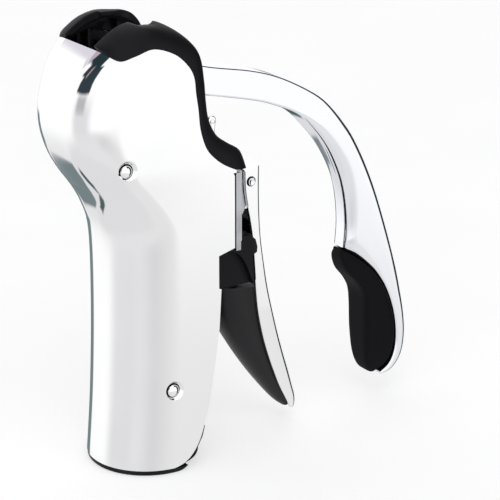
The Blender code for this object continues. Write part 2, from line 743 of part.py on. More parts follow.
def worm_bearing(body, material):
    """Thrust washer in the carriage's pocket."""
    profile = [(SHANK_R + GAP, CARRIAGE_TOP - 2.7), (5.0, CARRIAGE_TOP - 2.7),
               (5.0, CARRIAGE_TOP - 0.3), (SHANK_R + GAP, CARRIAGE_TOP - 0.3)]
    add_piece("worm_bearing", turned(profile, (0, 0), "Z", 24), body, material)


def worm(body, material):
    """Open helix with a drawn-out tip, whose upper end straightens into the shank."""
    top = CARRIAGE_BOTTOM - 5.0
    per_turn = 12
    turns = (top - WORM_TIP_Z) / WORM_LEAD
    count = int(turns * per_turn)
    points = []
    radii = []
    for index in range(count + 1):
        z = WORM_TIP_Z + (top - WORM_TIP_Z) * index / count
        angle = tau * (z - WORM_TIP_Z) / WORM_LEAD
        points.append((WORM_R * cos(angle), WORM_R * sin(angle), z))
        radii.append(WIRE_R * min(1.0, 0.2 + 0.8 * index / (per_turn * 0.8)))
    lead_in = 8
    for index in range(1, lead_in + 1):
        share = index / lead_in
        z = top + 4.4 * share
        angle = tau * (z - WORM_TIP_Z) / WORM_LEAD
        reach = WORM_R * (1.0 - share) ** 1.2
        points.append((reach * cos(angle), reach * sin(angle), z))
        radii.append(WIRE_R + (SHANK_R - WIRE_R) * share)
    points += [(0, 0, CARRIAGE_BOTTOM), (0, 0, CARRIAGE_TOP + 3.6)]
    radii += [SHANK_R, SHANK_R]
    add_piece("worm", swept(points, radii, 8), body, material, 50.0)


def worm_retainer(body, material):
    """Ring on top of the shank that keeps the worm in its carriage."""
    inner = SHANK_R + 0.15
    profile = [(inner, CARRIAGE_TOP + 0.3), (4.4, CARRIAGE_TOP + 0.3), (4.4, CARRIAGE_TOP + 2.2),
               (4.0, CARRIAGE_TOP + 2.6), (inner, CARRIAGE_TOP + 2.6)]
    add_piece("worm_retainer", turned(profile, (0, 0), "Z", 20), body, material)


# ---------------------------------------------------------------- clamp lever

def clamp_half(z):
    """Half width of the clamp lever at one height."""
    share = min(max((50.0 - z) / 46.0, 0.0), 1.0)
    return CLAMP_HALF * (1.0 - 0.62 * share ** 1.6)


def clamp_lever(body, material):
    """Pressed channel: two flanks, a back and a closed top."""
    chamfer = 1.0
    sections = []
    for back, front in zip(curve_through(CLAMP_BACK, 1), curve_through(CLAMP_FRONT, 1)):
        b = Vector(back)
        f = Vector(front)
        half = clamp_half(back[1])
        inward = (f - b).normalized()
        corner = b + inward * min(chamfer, 0.3 * (f - b).length)
        inside = b + inward * min(CLAMP_SHEET, 0.6 * (f - b).length)
        narrow = half - CLAMP_SHEET
        ring = [(f, -half), (corner, -half), (b, chamfer - half), (b, half - chamfer),
                (corner, half), (f, half), (f, narrow), (inside, narrow), (inside, -narrow),
                (f, -narrow)]
        sections.append([(spot.x, y, spot.y) for spot, y in ring])
    bm = bmesh.new()
    skin(bm, sections)
    lever = add_piece("clamp_lever", bm, body, material)
    (back_x, top), (front_x, _) = CLAMP_BACK[0], CLAMP_FRONT[0]
    lid = block((front_x, back_x - 0.4), (0.6 - CLAMP_HALF, CLAMP_HALF - 0.6),
                (top - CLAMP_SHEET, top - 0.02))
    boolean(lever, add_tool("clamp_lid", lid, body), "UNION")
    bore = turned(disc(PIN_R + 0.2, -20, 20), CLAMP_PIN, segments=18)
    boolean(lever, add_tool("clamp_bore", bore, body), "DIFFERENCE")


def clamp_grip(body, material):
    """Black grip that fills the channel and bulges towards the bottle."""
    front_line = curve_through(GRIP_FRONT, 2)
    back_line = curve_through(CLAMP_BACK[GRIP_START:-1], 2)
    clearance = CLAMP_SHEET + GAP
    sections = []
    for front, back in zip(front_line, back_line):
        tip = Vector(front)
        tail = Vector(back)
        along = (tail - tip).normalized()
        tail = tail - along * (clearance + 0.15)
        half = max(clamp_half(back[1]) - clearance - 0.1, 0.9)
        crown = min(0.45 * (tail - tip).length, half)
        ring = []
        for step in range(9):
            angle = radians(-90.0 + 180.0 * step / 8)
            spot = tip + along * (crown * (1 - cos(angle)))
            ring.append((spot.x, half * sin(angle), spot.y))
        ring.append((tail.x, half, tail.y))
        ring.append((tail.x, -half, tail.y))
        sections.append(ring)
    bm = bmesh.new()
    skin(bm, sections)
    add_piece("clamp_grip", bm, body, material, 50.0)


def clamp_jaw(body, material):
    """Jaw above the grip, hollowed for a bottle's neck, with a flange over each flank's edge."""
    half = CLAMP_HALF - CLAMP_SHEET - GAP
    flange_in = CLAMP_HALF + GAP
    flange_out = flange_in + 0.8
    low = 62.0
    collar = [(19.0, low), (19.0, 78.6), (24.0, 80.4), (32.0, 81.6), (38.2, 82.0), (39.3, low)]
    jaw = add_piece("clamp_jaw", prism(collar, -flange_out, flange_out), body, material)
    bevel(jaw, 0.8, 2)
    flange = [(36.0, low + 6.0), (36.0, 81.0), (39.6, 81.0), (41.4, 78.0), (41.4, 69.5), (39.4, low + 6.0)]
    for label, side in SIDES:
        plate = prism(flange, *mirrored(side, (flange_in, flange_out - 0.02)))
        boolean(jaw, add_tool(f"{label}_jaw_flange", plate, body), "UNION")
    tail = block((30.0, 42.2), (-half, half), (low + 0.8, 76.0))
    boolean(jaw, add_tool("jaw_tail", tail, body), "UNION")
    neck = turned(disc(BORE_R + 0.6, 50, 90), (5.0, 0), "Z", 32)
    boolean(jaw, add_tool("jaw_hollow", neck, body), "DIFFERENCE")


def jaw_pad(body, material):
    """Ribbed rubber pad on the jaw's hollow face."""
    sections = []
    for z in (64.0, 77.6):
        outer = arc((5.0, 0), BORE_R + 0.3, -32, 32, 8)
        inner = arc((5.0, 0), BORE_R - 1.3, 32, -32, 8)
        sections.append([(x, y, z) for x, y in outer + inner])
    bm = bmesh.new()
    skin(bm, sections)
    add_piece("jaw_pad", bm, body, material)


# ---------------------------------------------------------------- assembly

def build():
    clear_scene()
    chrome = make_material("chrome", (0.86, 0.87, 0.88), 1.0, 0.08)
    lever_chrome = make_material("lever_chrome", (0.84, 0.85, 0.9), 1.0, 0.1)
    black = make_material("black_plastic", (0.02, 0.02, 0.024), 0.0, 0.4)
    cast = make_material("black_casting", (0.022, 0.022, 0.025), 0.3, 0.45)
    rubber = make_material("black_rubber", (0.018, 0.018, 0.02), 0.0, 0.6)
    steel = make_material("steel", (0.55, 0.56, 0.58), 1.0, 0.3)
    brass = make_material("brass", (0.75, 0.55, 0.25), 1.0, 0.3)
    PIECES["tool_material"] = steel

    frame = make_empty("opener", 0.0, 0.0)
    body = make_empty("housing", 0.0, 0.0, frame)
    PIECES["cavity"] = add_tool("cavity", solid_casing(CAVITY, 1.0, 175.0, 28.0), body)

    chrome_shell(body, chrome)
    neck_liner(body, cast)
    neck_pad(body, rubber)
    nut_bridge(body, cast)
    worm_nut(body, brass)
    lever_axle(body, steel)
    rear_bracket(body, chrome)
    clamp_pin(body, steel)
    clamp_spring(body, steel)
    for label, side in SIDES:
        cheek(label, side, body, black)
        for name, place in SCREWS.items():
            shell_screw(f"{name}_screw_{label}", place, side, body, chrome)
        pinion_axle(label, side, body, steel)
        rest_tab(label, side, body, chrome)

    lever = make_empty("main_lever_pivot", *PIVOT, frame)
    lever_arm(lever, lever_chrome)
    lever_grip(lever, rubber)
    for label, side in SIDES:
        sector_gear(label, side, lever, steel)
        lever_bushing(label, side, lever, brass)
        spindle = make_empty(f"{label}_pinion_pivot", PINION_X, PINION_Z, frame)
        pinion(label, side, spindle, steel)

    slide = make_empty("carriage_slide", 0.0, CARRIAGE_BOTTOM, frame)
    carriage_block(slide, cast)
    worm_bearing(slide, brass)
    for label, side in SIDES:
        rack(label, side, slide, steel)
    spin = make_empty("worm_spin", 0.0, CARRIAGE_BOTTOM, slide)
    worm(spin, steel)
    worm_retainer(spin, brass)

    clamp = make_empty("clamp_pivot", *CLAMP_PIN, frame)
    clamp_lever(clamp, lever_chrome)
    clamp_grip(clamp, rubber)
    clamp_jaw(clamp, rubber)
    jaw_pad(clamp, rubber)

    frame.location = (WORM_AXIS_X * MM, 0.0, FOOT_DROP * MM)


build()
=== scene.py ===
"""Looks of the lever corkscrew: polished shell, black cheeks and grips, plated levers.

Shapes are worked out in design millimetres, where the worm's axis is X = Y = 0 and +X points
to the back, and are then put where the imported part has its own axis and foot.
"""
from math import ceil, copysign, cos, pi, radians, sin, sqrt, tau

import bmesh
import bpy
import numpy as np
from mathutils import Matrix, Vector
from mathutils.geometry import interpolate_bezier


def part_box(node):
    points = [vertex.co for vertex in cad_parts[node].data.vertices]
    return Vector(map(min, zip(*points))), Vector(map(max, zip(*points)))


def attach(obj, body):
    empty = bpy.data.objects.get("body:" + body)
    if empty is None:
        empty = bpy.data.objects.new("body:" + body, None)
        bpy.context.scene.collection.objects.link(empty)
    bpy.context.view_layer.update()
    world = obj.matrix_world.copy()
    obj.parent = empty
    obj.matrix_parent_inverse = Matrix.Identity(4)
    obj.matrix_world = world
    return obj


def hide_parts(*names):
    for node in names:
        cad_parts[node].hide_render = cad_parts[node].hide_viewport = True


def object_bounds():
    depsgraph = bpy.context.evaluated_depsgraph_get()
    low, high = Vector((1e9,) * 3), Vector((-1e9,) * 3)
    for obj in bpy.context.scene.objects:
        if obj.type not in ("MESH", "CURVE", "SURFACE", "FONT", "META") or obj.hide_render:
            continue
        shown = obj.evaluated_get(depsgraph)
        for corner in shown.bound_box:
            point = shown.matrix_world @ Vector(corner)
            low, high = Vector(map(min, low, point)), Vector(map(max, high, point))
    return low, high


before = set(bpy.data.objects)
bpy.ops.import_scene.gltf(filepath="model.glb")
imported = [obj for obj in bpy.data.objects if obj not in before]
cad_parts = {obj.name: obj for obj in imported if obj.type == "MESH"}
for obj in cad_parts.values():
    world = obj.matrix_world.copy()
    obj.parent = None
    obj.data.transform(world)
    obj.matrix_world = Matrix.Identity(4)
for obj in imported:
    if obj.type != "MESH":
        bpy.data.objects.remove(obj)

CAD_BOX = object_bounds()
MM = 0.001
SHELL_BOTTOM = 0.6
NUT_LOW, NUT_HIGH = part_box("worm_nut")
AXIS_X = (NUT_LOW[0] + NUT_HIGH[0]) / 2
BASE_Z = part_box("chrome_shell")[0][2] - SHELL_BOTTOM * MM
FOOT = -BASE_Z / MM

# Casing and neck passage
HALF_WIDTH = 23.0
WALL = 1.6
GAP = 0.3
CAVITY = WALL + GAP
BORE_R = 16.5
CHEEK_IN = 18.2
CROWN_EDGE = 10.4
CORNER_STEPS = 18
SECTION_PITCH = 2.6
SCREW_HOLE_R = 1.9
BEYOND = 60.0  # past the front and back of the casing
FAR_SIDE = 40.0  # past its sides

# Main lever and gearing
PIVOT = (-8.5, 146.0)
PINION = (5.8, 124.05)
AXLE_HOLE_R = 3.7
HUB_R, HUB_HALF = 8.0, 4.6
BOSS_R, BOSS_HALF = 7.2, 12.1
SWING_R = 18.5
ARM_HALF_ROOT, ARM_HALF_TIP = 4.6, 6.0
GRIP_HALF = 7.6
GRIP_STATIONS = 56

# Clamp lever and carriage
CLAMP_PIN = (38.2, 102.2)
CLAMP_HALF = 12.0
CLAMP_SHEET = 1.3
CLAMP_ROUND = 1.3
PIN_R = 1.5
JAW_FLANGE = 0.8
JAW_CENTRE = (5.0, 0)  # middle of the jaw's hollow face in plan
CARRIAGE_BOTTOM = 80.4
CARRIAGE_TOP = 91.0
SIDES = (("left", -1), ("right", 1))

# (height, front) of the casing, and (height, radius) of its front corners
FRONT_LINE = [(0, -24.0), (27, -21.7), (60, -20.2), (88, -20.2), (99, -22.4), (106, -25.6),
              (112, -29.6), (119, -33.4), (127, -36.0), (134, -36.7), (140, -36.0),
              (147.5, -33.9), (153.5, -30.8), (159, -25.8), (166, -17.0)]
CORNER_LINE = [(0, 22.8), (60, 22.0), (90, 21.0), (106, 17.0), (120, 15.0), (145, 15.0),
               (159, 12.5), (166, 11.0)]
# (x, z) outlines in the side view
CHROME_RIM = [(-25.0, 159.7), (-21.3, 157.3), (-15.8, 158.7), (-8.8, 160.3), (-0.8, 157.6),
              (4.5, 153.1), (7.2, 148.4), (8.0, 142.2), (8.9, 136.2), (9.7, 128.9),
              (12.0, 121.9), (15.4, 117.6), (19.8, 114.2), (24.8, 111.6)]
BLACK_RIM = [(-25.8, 160.9), (-21.4, 164.1), (-16.2, 167.0), (-9.6, 168.2), (-0.6, 166.9),
             (7.0, 162.0), (12.0, 155.0), (13.7, 146.0), (14.3, 138.4), (15.5, 131.2),
             (18.8, 124.8), (23.3, 121.2), (28.8, 117.4), (31.4, 110.8)]
SHELL_BACK = [(24.6, 95.0), (24.4, 82.2), (17.1, 80.2), (17.1, 67.6), (18.1, 67.2),
              (17.2, 52.3), (15.4, 39.6), (12.8, 24.5), (10.8, 16.9), (8.5, 9.9),
              (5.2, 4.6), (1.4, 1.7), (-2.6, SHELL_BOTTOM)]
SHELL_BACK_CORNERS = 5  # the first points stay corners, and a curve runs through the rest
ARM_OUTER = [(10, 150.2), (25, 145.9), (43.3, 142.0), (57, 137.3), (71.8, 129.2),
             (79.3, 122.9), (87, 113.8), (91.4, 106.8), (96.1, 97.6), (100.8, 86.6),
             (105.3, 74), (110.1, 59.1), (113.7, 46), (116.4, 32), (117.0, 21.6),
             (115.2, 13.6), (110.6, 8.6), (105.0, 7.6)]
ARM_INNER = [(7, 138.6), (25, 135.0), (43.5, 130.7), (53.3, 127.4), (64.2, 122.2),
             (71, 115.5), (77.3, 107.5), (81.8, 99.6), (85.0, 92), (87.0, 83), (87.8, 73),
             (87.2, 64.2)]
GRIP_SEAM = [(87.2, 63.6), (94.4, 58.6), (100.8, 52.6), (105.6, 46), (109.2, 38),
             (111.4, 30), (112.2, 22), (111.4, 15.6), (108.8, 10.9), (104.6, 8.6)]
GRIP_INNER = [(104.0, 7.6), (100.4, 9.2), (97.9, 15.2), (96.9, 26), (96.7, 37), (95.8, 43.6),
              (92.8, 48.8), (88.6, 53.8), (86.4, 59.0), (86.2, 62.8)]
CLAMP_BACK = [(42.4, 108.5), (42.3, 99), (42.5, 89), (43.2, 78.5), (44.6, 68.5), (46.2, 59),
              (48.6, 48.5), (51.4, 39), (54.6, 30), (58.0, 21.5), (61.2, 13.4), (63.6, 7.4),
              (63.9, 4.0), (62.9, 2.6)]
CLAMP_FRONT = [(35.6, 106.9), (35.9, 99), (37.4, 90), (39.0, 80), (39.8, 70), (40.6, 59),
               (41.8, 49), (44.4, 38.8), (47.8, 29.5), (51.6, 21.0), (55.2, 14.0), (58.8, 8.0),
               (61.0, 4.4), (61.7, 2.7)]
CLAMP_GRIP_START = 5  # the point of CLAMP_BACK beside the grip's top
CLAMP_GRIP_FRONT = [(24.5, 61.0), (26.5, 49.5), (33.0, 38.5), (38.6, 29.4), (44.6, 20.6),
                    (50.8, 12.6), (56.4, 6.2), (60.2, 3.0)]
SCREWS = {"upper": (-20.4, 118.2), "lower": (-2.6, 31.6)}


# ------------------------------ curves

def curve_through(points, steps):
    """A smooth curve through the points, with the given number of steps between each two."""
    result = []
    count = len(points)
    for index in range(count - 1):
        before = Vector(points[max(index - 1, 0)])
        start = Vector(points[index])
        end = Vector(points[index + 1])
        after = Vector(points[min(index + 2, count - 1)])
        leave = start + (end - before) / 6.0
        arrive = end - (after - start) / 6.0
        stretch = interpolate_bezier(start.to_3d(), leave.to_3d(), arrive.to_3d(),
                                     end.to_3d(), steps + 1)
        result.extend((p.x, p.y) for p in stretch[:-1])
    result.append(tuple(points[-1]))
    return result


FRONT_TABLE = np.array(curve_through(FRONT_LINE, 12))
CORNER_TABLE = np.array(curve_through(CORNER_LINE, 12))


def front_at(z):
    """X of the casing's front at a height."""
    return np.interp(z, FRONT_TABLE[:, 0], FRONT_TABLE[:, 1])


def corner_at(z):
    """Radius of the casing's front corners at a height."""
    return np.interp(z, CORNER_TABLE[:, 0], CORNER_TABLE[:, 1])


def arc(centre, radius, start, end, steps):
    """Points on a circle from one angle to another, both in degrees."""
    points = []
    for index in range(steps + 1):
        angle = radians(start + (end - start) * index / steps)
        points.append((centre[0] + radius * cos(angle), centre[1] + radius * sin(angle)))
    return points


def mirrored(side, values):
    """The two values on the given side of the middle, lower one first."""
    return tuple(sorted(side * value for value in values))


def blend_at(table, at):
    """Value at a place in a list of (place, value) pairs, straight between them."""
    places, values = zip(*table)
    return float(np.interp(at, places, values))


def distances(line):
    """The line's points as an array, and the way along the line to each of them."""
    spots = np.array(line)
    return spots, np.concatenate([[0.0], np.cumsum(np.hypot(*np.diff(spots, axis=0).T))])


def points_along(line, places):
    """Points at the given distances along a line."""
    spots, lengths = distances(line)
    return [(float(np.interp(at, lengths, spots[:, 0])),
             float(np.interp(at, lengths, spots[:, 1]))) for at in places]


def resample(line, marks, steps):
    """Cut a fine line at the marks, with the given number of even steps in each stretch."""
    spots, lengths = distances(line)
    cuts = [float(lengths[np.argmin(np.hypot(*(spots - mark).T))]) for mark in marks]
    places = []
    for low, high, count in zip(cuts, cuts[1:], steps):
        places += [low + (high - low) * index / count for index in range(count)]
    return points_along(line, places + [cuts[-1]])


def crowded(line, count):
    """The line cut into steps that crowd towards both of its ends."""
    whole = distances(line)[1][-1]
    return points_along(line, [(1 - cos(pi * index / count)) / 2 * whole
                               for index in range(count + 1)])


# ------------------------------ meshes

def lofted(sections):
    """Join equal rings of points into one skin and cap its two ends."""
    bm = bmesh.new()
    rings = [[bm.verts.new(point) for point in section] for section in sections]
    for low, high in zip(rings, rings[1:]):
        for index in range(len(low)):
            after = (index + 1) % len(low)
            bm.faces.new((low[index], low[after], high[after], high[index]))
    bm.faces.new(rings[0])
    bm.faces.new(rings[-1])
    return bm


def prism(outline, low, high):
    """Extrude an (x, z) outline along Y."""
    return lofted([[(x, y, z) for x, z in outline] for y in (low, high)])


def plan_prism(outline, low, high):
    """Extrude an (x, y) outline along Z."""
    return lofted([[(x, y, z) for x, y in outline] for z in (low, high)])


def block(x, y, z):
    """A box from its (low, high) along each axis."""
    return prism([(x[0], z[0]), (x[1], z[0]), (x[1], z[1]), (x[0], z[1])], y[0], y[1])


def turned(profile, centre, axis="Y", segments=48):
    """Turn a profile of (radius, along) points about an axis through centre."""
    bm = bmesh.new()

    def place(radius, along, angle):
        u = radius * cos(angle)
        v = radius * sin(angle)
        if axis == "Y":
            return (centre[0] + u, along, centre[1] + v)
        return (centre[0] + u, centre[1] + v, along)

    def ring(radius, along):
        if radius == 0:
            return [bm.verts.new(place(0, along, 0))]
        return [bm.verts.new(place(radius, along, tau * k / segments)) for k in range(segments)]

    rings = [ring(*point) for point in profile]
    if profile[0][0] > 0:
        rings.append(rings[0])
    for low, high in zip(rings, rings[1:]):
        for k in range(segments):
            corners = [low[k % len(low)], low[(k + 1) % len(low)],
                       high[(k + 1) % len(high)], high[k % len(high)]]
            bm.faces.new(list(dict.fromkeys(corners)))
    return bm


def disc(radius, low, high, chamfer=0.0):
    """Profile of a disc between two places on its axis, with rounded edges if asked."""
    if chamfer == 0:
        return [(0, low), (radius, low), (radius, high), (0, high)]
    return [(0, low), (radius - chamfer, low), (radius - chamfer * 0.3, low + chamfer * 0.3),
            (radius, low + chamfer), (radius, high - chamfer),
            (radius - chamfer * 0.3, high - chamfer * 0.3), (radius - chamfer, high), (0, high)]


def swept(points, radii, sides):
    """A round bar along the points, with a radius at each."""
    spots = [Vector(p) for p in points]
    across = None
    sections = []
    for index, spot in enumerate(spots):
        before = spots[max(index - 1, 0)]
        after = spots[min(index + 1, len(spots) - 1)]
        along = (after - before).normalized()
        if across is None:
            across = along.orthogonal().normalized()
        across = (across - along * across.dot(along)).normalized()
        third = along.cross(across)
        ring = []
        for k in range(sides):
            angle = tau * k / sides
            ring.append(spot + (across * cos(angle) + third * sin(angle)) * radii[index])
        sections.append(ring)
    return lofted(sections)


def new_object(name, bm):
    """Make an object in the part's own frame from a bmesh in design millimetres."""
    bmesh.ops.remove_doubles(bm, verts=bm.verts, dist=0.001)
    bmesh.ops.recalc_face_normals(bm, faces=bm.faces)
    bmesh.ops.scale(bm, verts=bm.verts, vec=(MM, MM, MM))
    bmesh.ops.translate(bm, verts=bm.verts, vec=(AXIS_X, 0.0, BASE_Z))
    mesh = bpy.data.meshes.new(name)
    bm.to_mesh(mesh)
    bm.free()
    made = bpy.data.objects.new(name, mesh)
    bpy.context.collection.objects.link(made)
    return made


def settle(piece):
    """Apply every modifier of a piece."""
    graph = bpy.context.evaluated_depsgraph_get()
    mesh = bpy.data.meshes.new_from_object(piece.evaluated_get(graph))
    piece.modifiers.clear()
    old = piece.data
    piece.data = mesh
    bpy.data.meshes.remove(old)


def combine(piece, bm, operation="DIFFERENCE"):
    """Cut, join or trim a piece with a second solid."""
    tool = new_object("tool", bm)
    modifier = piece.modifiers.new("solid", "BOOLEAN")
    modifier.operation = operation
    modifier.solver = "EXACT"
    modifier.object = tool
    settle(piece)
    mesh = tool.data
    bpy.data.objects.remove(tool)
    bpy.data.meshes.remove(mesh)


def add_bevel(piece, width, segments, angle):
    """Bevel on the edges that are sharper than the angle, with the width in millimetres."""
    modifier = piece.modifiers.new("edges", "BEVEL")
    modifier.width = width * MM
    modifier.segments = segments
    modifier.limit_method = "ANGLE"
    modifier.angle_limit = radians(angle)


def soften(piece, width):
    """Round the sharp edges of a piece."""
    add_bevel(piece, width, 4, 35.0)
    settle(piece)


def finish_piece(piece, body, slot, nodes, smooth=35.0, weighted=True, finish=None):
    """Shade a piece, give it its finish, tie it to its body, and hide the nodes it stands for."""
    mesh = piece.data
    mesh.shade_smooth()
    mesh.set_sharp_from_angle(angle=radians(smooth))
    if weighted:
        modifier = piece.modifiers.new("normals", "WEIGHTED_NORMAL")
        modifier.keep_sharp = True
        settle(piece)
    piece.data.materials.clear()
    piece.data.materials.append(FINISHES[finish or slot])
    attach(piece, body)
    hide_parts(*nodes)


# ------------------------------ finishes

class Nodes:
    """Small helper that builds a node tree."""

    def __init__(self, tree):
        self.tree = tree

    def add(self, kind, **values):
        node = self.tree.nodes.new(kind)
        for key, value in values.items():
            setattr(node, key, value)
        return node

    def link(self, source, target):
        self.tree.links.new(source, target)

    def put(self, socket, value):
        if hasattr(value, "is_output"):
            self.link(value, socket)
        else:
            socket.default_value = value

    def math(self, operation, *values):
        node = self.add("ShaderNodeMath", operation=operation)
        for socket, value in zip(node.inputs, values):
            self.put(socket, value)
        return node.outputs[0]

    def remap(self, value, low, high, new_low, new_high, smooth=False):
        node = self.add("ShaderNodeMapRange")
        node.interpolation_type = "SMOOTHSTEP" if smooth else "LINEAR"
        for socket, item in zip(node.inputs, (value, low, high, new_low, new_high)):
            self.put(socket, item)
        return node.outputs[0]

    def noise(self, scale, detail=3.0, stretch=None, roughness=0.5, seed=0.0):
        """Noise per metre in the piece's own space, stretched along an axis if asked."""
        spot = self.add("ShaderNodeTexCoord").outputs["Object"]
        mapping = self.add("ShaderNodeMapping")
        self.link(spot, mapping.inputs["Vector"])
        mapping.inputs["Location"].default_value = (seed, seed * 0.37, seed * 0.71)
        if stretch:
            mapping.inputs["Scale"].default_value = stretch
        node = self.add("ShaderNodeTexNoise")
        self.link(mapping.outputs[0], node.inputs["Vector"])
        node.inputs["Scale"].default_value = scale
        node.inputs["Detail"].default_value = detail
        node.inputs["Roughness"].default_value = roughness
        return node.outputs["Fac"]

    def mix(self, factor, first, second):
        node = self.add("ShaderNodeMix", data_type="RGBA")
        self.put(node.inputs[0], factor)
        for socket, value in ((node.inputs[6], first), (node.inputs[7], second)):
            self.put(socket, value if hasattr(value, "is_output") else (*value, 1.0))
        return node.outputs[2]

    def bump(self, height, strength, distance):
        node = self.add("ShaderNodeBump")
        self.link(height, node.inputs["Height"])
        node.inputs["Strength"].default_value = strength
        node.inputs["Distance"].default_value = distance
        return node.outputs[0]


def new_finish(name):
    material = bpy.data.materials.new(name)
    material.use_nodes = True
    shader = material.node_tree.nodes["Principled BSDF"]
    return material, shader, Nodes(material.node_tree)


def plated(name, colour, tint, low, high):
    """Polished plate: faint haze, wiping marks and hair scratches."""
    material, shader, n = new_finish(name)
    shader.inputs["Metallic"].default_value = 1.0
    haze = n.noise(38.0, 4.0, seed=0.3)
    wipes = n.noise(160.0, 3.0, (1.0, 1.0, 0.14), seed=1.7)
    hairs = n.noise(2600.0, 2.0, (1.0, 1.0, 0.02), 0.6, seed=2.9)
    marks = n.math("ADD", n.math("MULTIPLY", haze, 0.6), n.math("MULTIPLY", wipes, 0.4))
    n.link(n.remap(marks, 0.35, 0.7, low, high), shader.inputs["Roughness"])
    n.link(n.mix(n.remap(haze, 0.35, 0.7, 0.0, 1.0), colour, tint), shader.inputs["Base Color"])
    n.link(n.bump(hairs, 0.012, 0.00002), shader.inputs["Normal"])
    return material


def moulded(name, colour, edge_highlight_colour, rough, grain, grain_depth, specular):
    """Moulded or coated black: fine grain, patchy sheen, and a painted highlight that makes convex
    edges a little lighter.
    """
    material, shader, n = new_finish(name)
    shader.inputs["Specular IOR Level"].default_value = specular
    patches = n.noise(55.0, 4.0, seed=4.1)
    fine = n.noise(grain, 2.0, roughness=0.6, seed=0.9)
    # Painted highlight: convex edges, found by pointiness, are mixed towards a lighter colour in
    # noisy patches.
    pointed = n.add("ShaderNodeNewGeometry").outputs["Pointiness"]
    painted_edge_highlight = n.math("MULTIPLY", n.remap(pointed, 0.52, 0.6, 0.0, 1.0, True),
                    n.remap(patches, 0.4, 0.6, 0.15, 0.8))
    shade = n.mix(n.remap(patches, 0.35, 0.65, 0.0, 1.0), colour,
                  tuple(value * 1.25 for value in colour))
    n.link(n.mix(painted_edge_highlight, shade, edge_highlight_colour), shader.inputs["Base Color"])
    n.link(n.remap(patches, 0.3, 0.7, rough - 0.05, rough + 0.06), shader.inputs["Roughness"])
    n.link(n.bump(fine, 0.25, grain_depth), shader.inputs["Normal"])
    return material


def machined(name, colour, dark, stretch, low, high):
    """Turned or pressed metal: fine lines, stains and a patchy gloss."""
    material, shader, n = new_finish(name)
    shader.inputs["Metallic"].default_value = 1.0
    lines = n.noise(1800.0, 2.0, stretch, 0.6, seed=3.3)
    stains = n.noise(120.0, 4.0, seed=5.2)
    n.link(n.mix(n.remap(stains, 0.4, 0.75, 0.0, 0.7), colour, dark), shader.inputs["Base Color"])
    rough = n.math("ADD", n.remap(lines, 0.3, 0.7, low, high),
                   n.remap(stains, 0.4, 0.7, 0.0, 0.1))
    n.link(rough, shader.inputs["Roughness"])
    n.link(n.bump(lines, 0.15, 0.00003), shader.inputs["Normal"])
    return material


FINISHES = {
    "shell_chrome": plated("shell_chrome", (0.93, 0.935, 0.94), (0.955, 0.95, 0.955), 0.03, 0.075),
    "lever_chrome": plated("lever_chrome", (0.90, 0.915, 0.95), (0.925, 0.93, 0.965), 0.05, 0.1),
    # In the black finishes the second colour is the lighter colour of the painted edge highlight.
    "black_plastic": moulded("black_plastic", (0.0064, 0.0058, 0.0074), (0.018, 0.017, 0.02),
                             0.5, 2600.0, 0.00003, 0.13),
    "black_casting": moulded("black_casting", (0.004, 0.0055, 0.0058), (0.02, 0.024, 0.025),
                             0.45, 1500.0, 0.00004, 0.12),
    "black_rubber": moulded("black_rubber", (0.0045, 0.0042, 0.0055), (0.012, 0.012, 0.013),
                            0.62, 3200.0, 0.00003, 0.07),
    "satin_black": moulded("satin_black", (0.009, 0.0082, 0.0098), (0.026, 0.024, 0.028),
                           0.3, 2200.0, 0.00002, 0.26),
    "steel": machined("steel", (0.52, 0.53, 0.56), (0.33, 0.33, 0.34), (1.0, 1.0, 0.08), 0.2, 0.36),
    "brass": machined("brass", (0.74, 0.54, 0.25), (0.5, 0.34, 0.14), (1.0, 1.0, 0.3), 0.2, 0.34),
}


# ------------------------------ casing

def plan_section(z, inset, back, height=None):
    """The casing's outline in plan, from the left rear edge round the front to the right one.

    The outline is that at height z, set in from the skin, and it is drawn at another height if
    one is given.
    """
    half = HALF_WIDTH - inset
    corner = max(corner_at(z) - inset, 1.0)
    centre_x = front_at(z) + inset + corner
    points = [(back, -half)]
    for low, sign in ((270.0, -1), (180.0, 1)):
        for index in range(CORNER_STEPS + 1):
            angle = radians(low - 90.0 * index / CORNER_STEPS)
            points.append((centre_x + corner * cos(angle),
                           sign * (half - corner) + corner * sin(angle)))
    points.append((back, half))
    return [(x, y, z if height is None else height) for x, y in points]


def half_width_at(x, z, inset):
    """Half of the casing's width at a place on its side view."""
    half = HALF_WIDTH - inset
    corner = max(corner_at(z) - inset, 1.0)
    reach = x - (front_at(z) + inset)
    if reach >= corner:
        return half
    if reach <= 0:
        return 0.0
    return half - corner + sqrt(corner ** 2 - (corner - reach) ** 2)


def heights(low, high):
    """Heights of the casing's sections."""
    count = ceil((high - low) / SECTION_PITCH)
    return [low + (high - low) * index / count for index in range(count + 1)]


def solid_casing(inset, low, high, back=BEYOND):
    """The casing as a full solid, set in from its skin."""
    return lofted([plan_section(z, inset, back) for z in heights(low, high)])


def outside(x, y, z):
    """Distance from the casing's outer skin, with x, y and z as arrays."""
    corner = corner_at(z)
    centre_x = front_at(z) + corner
    width = np.abs(y)
    centre_y = HALF_WIDTH - corner
    round_part = np.hypot(x - centre_x, width - centre_y) - corner
    flat_part = np.where(x >= centre_x, width - HALF_WIDTH, centre_x - corner - x)
    return np.where((x < centre_x) & (width > centre_y), round_part, flat_part)


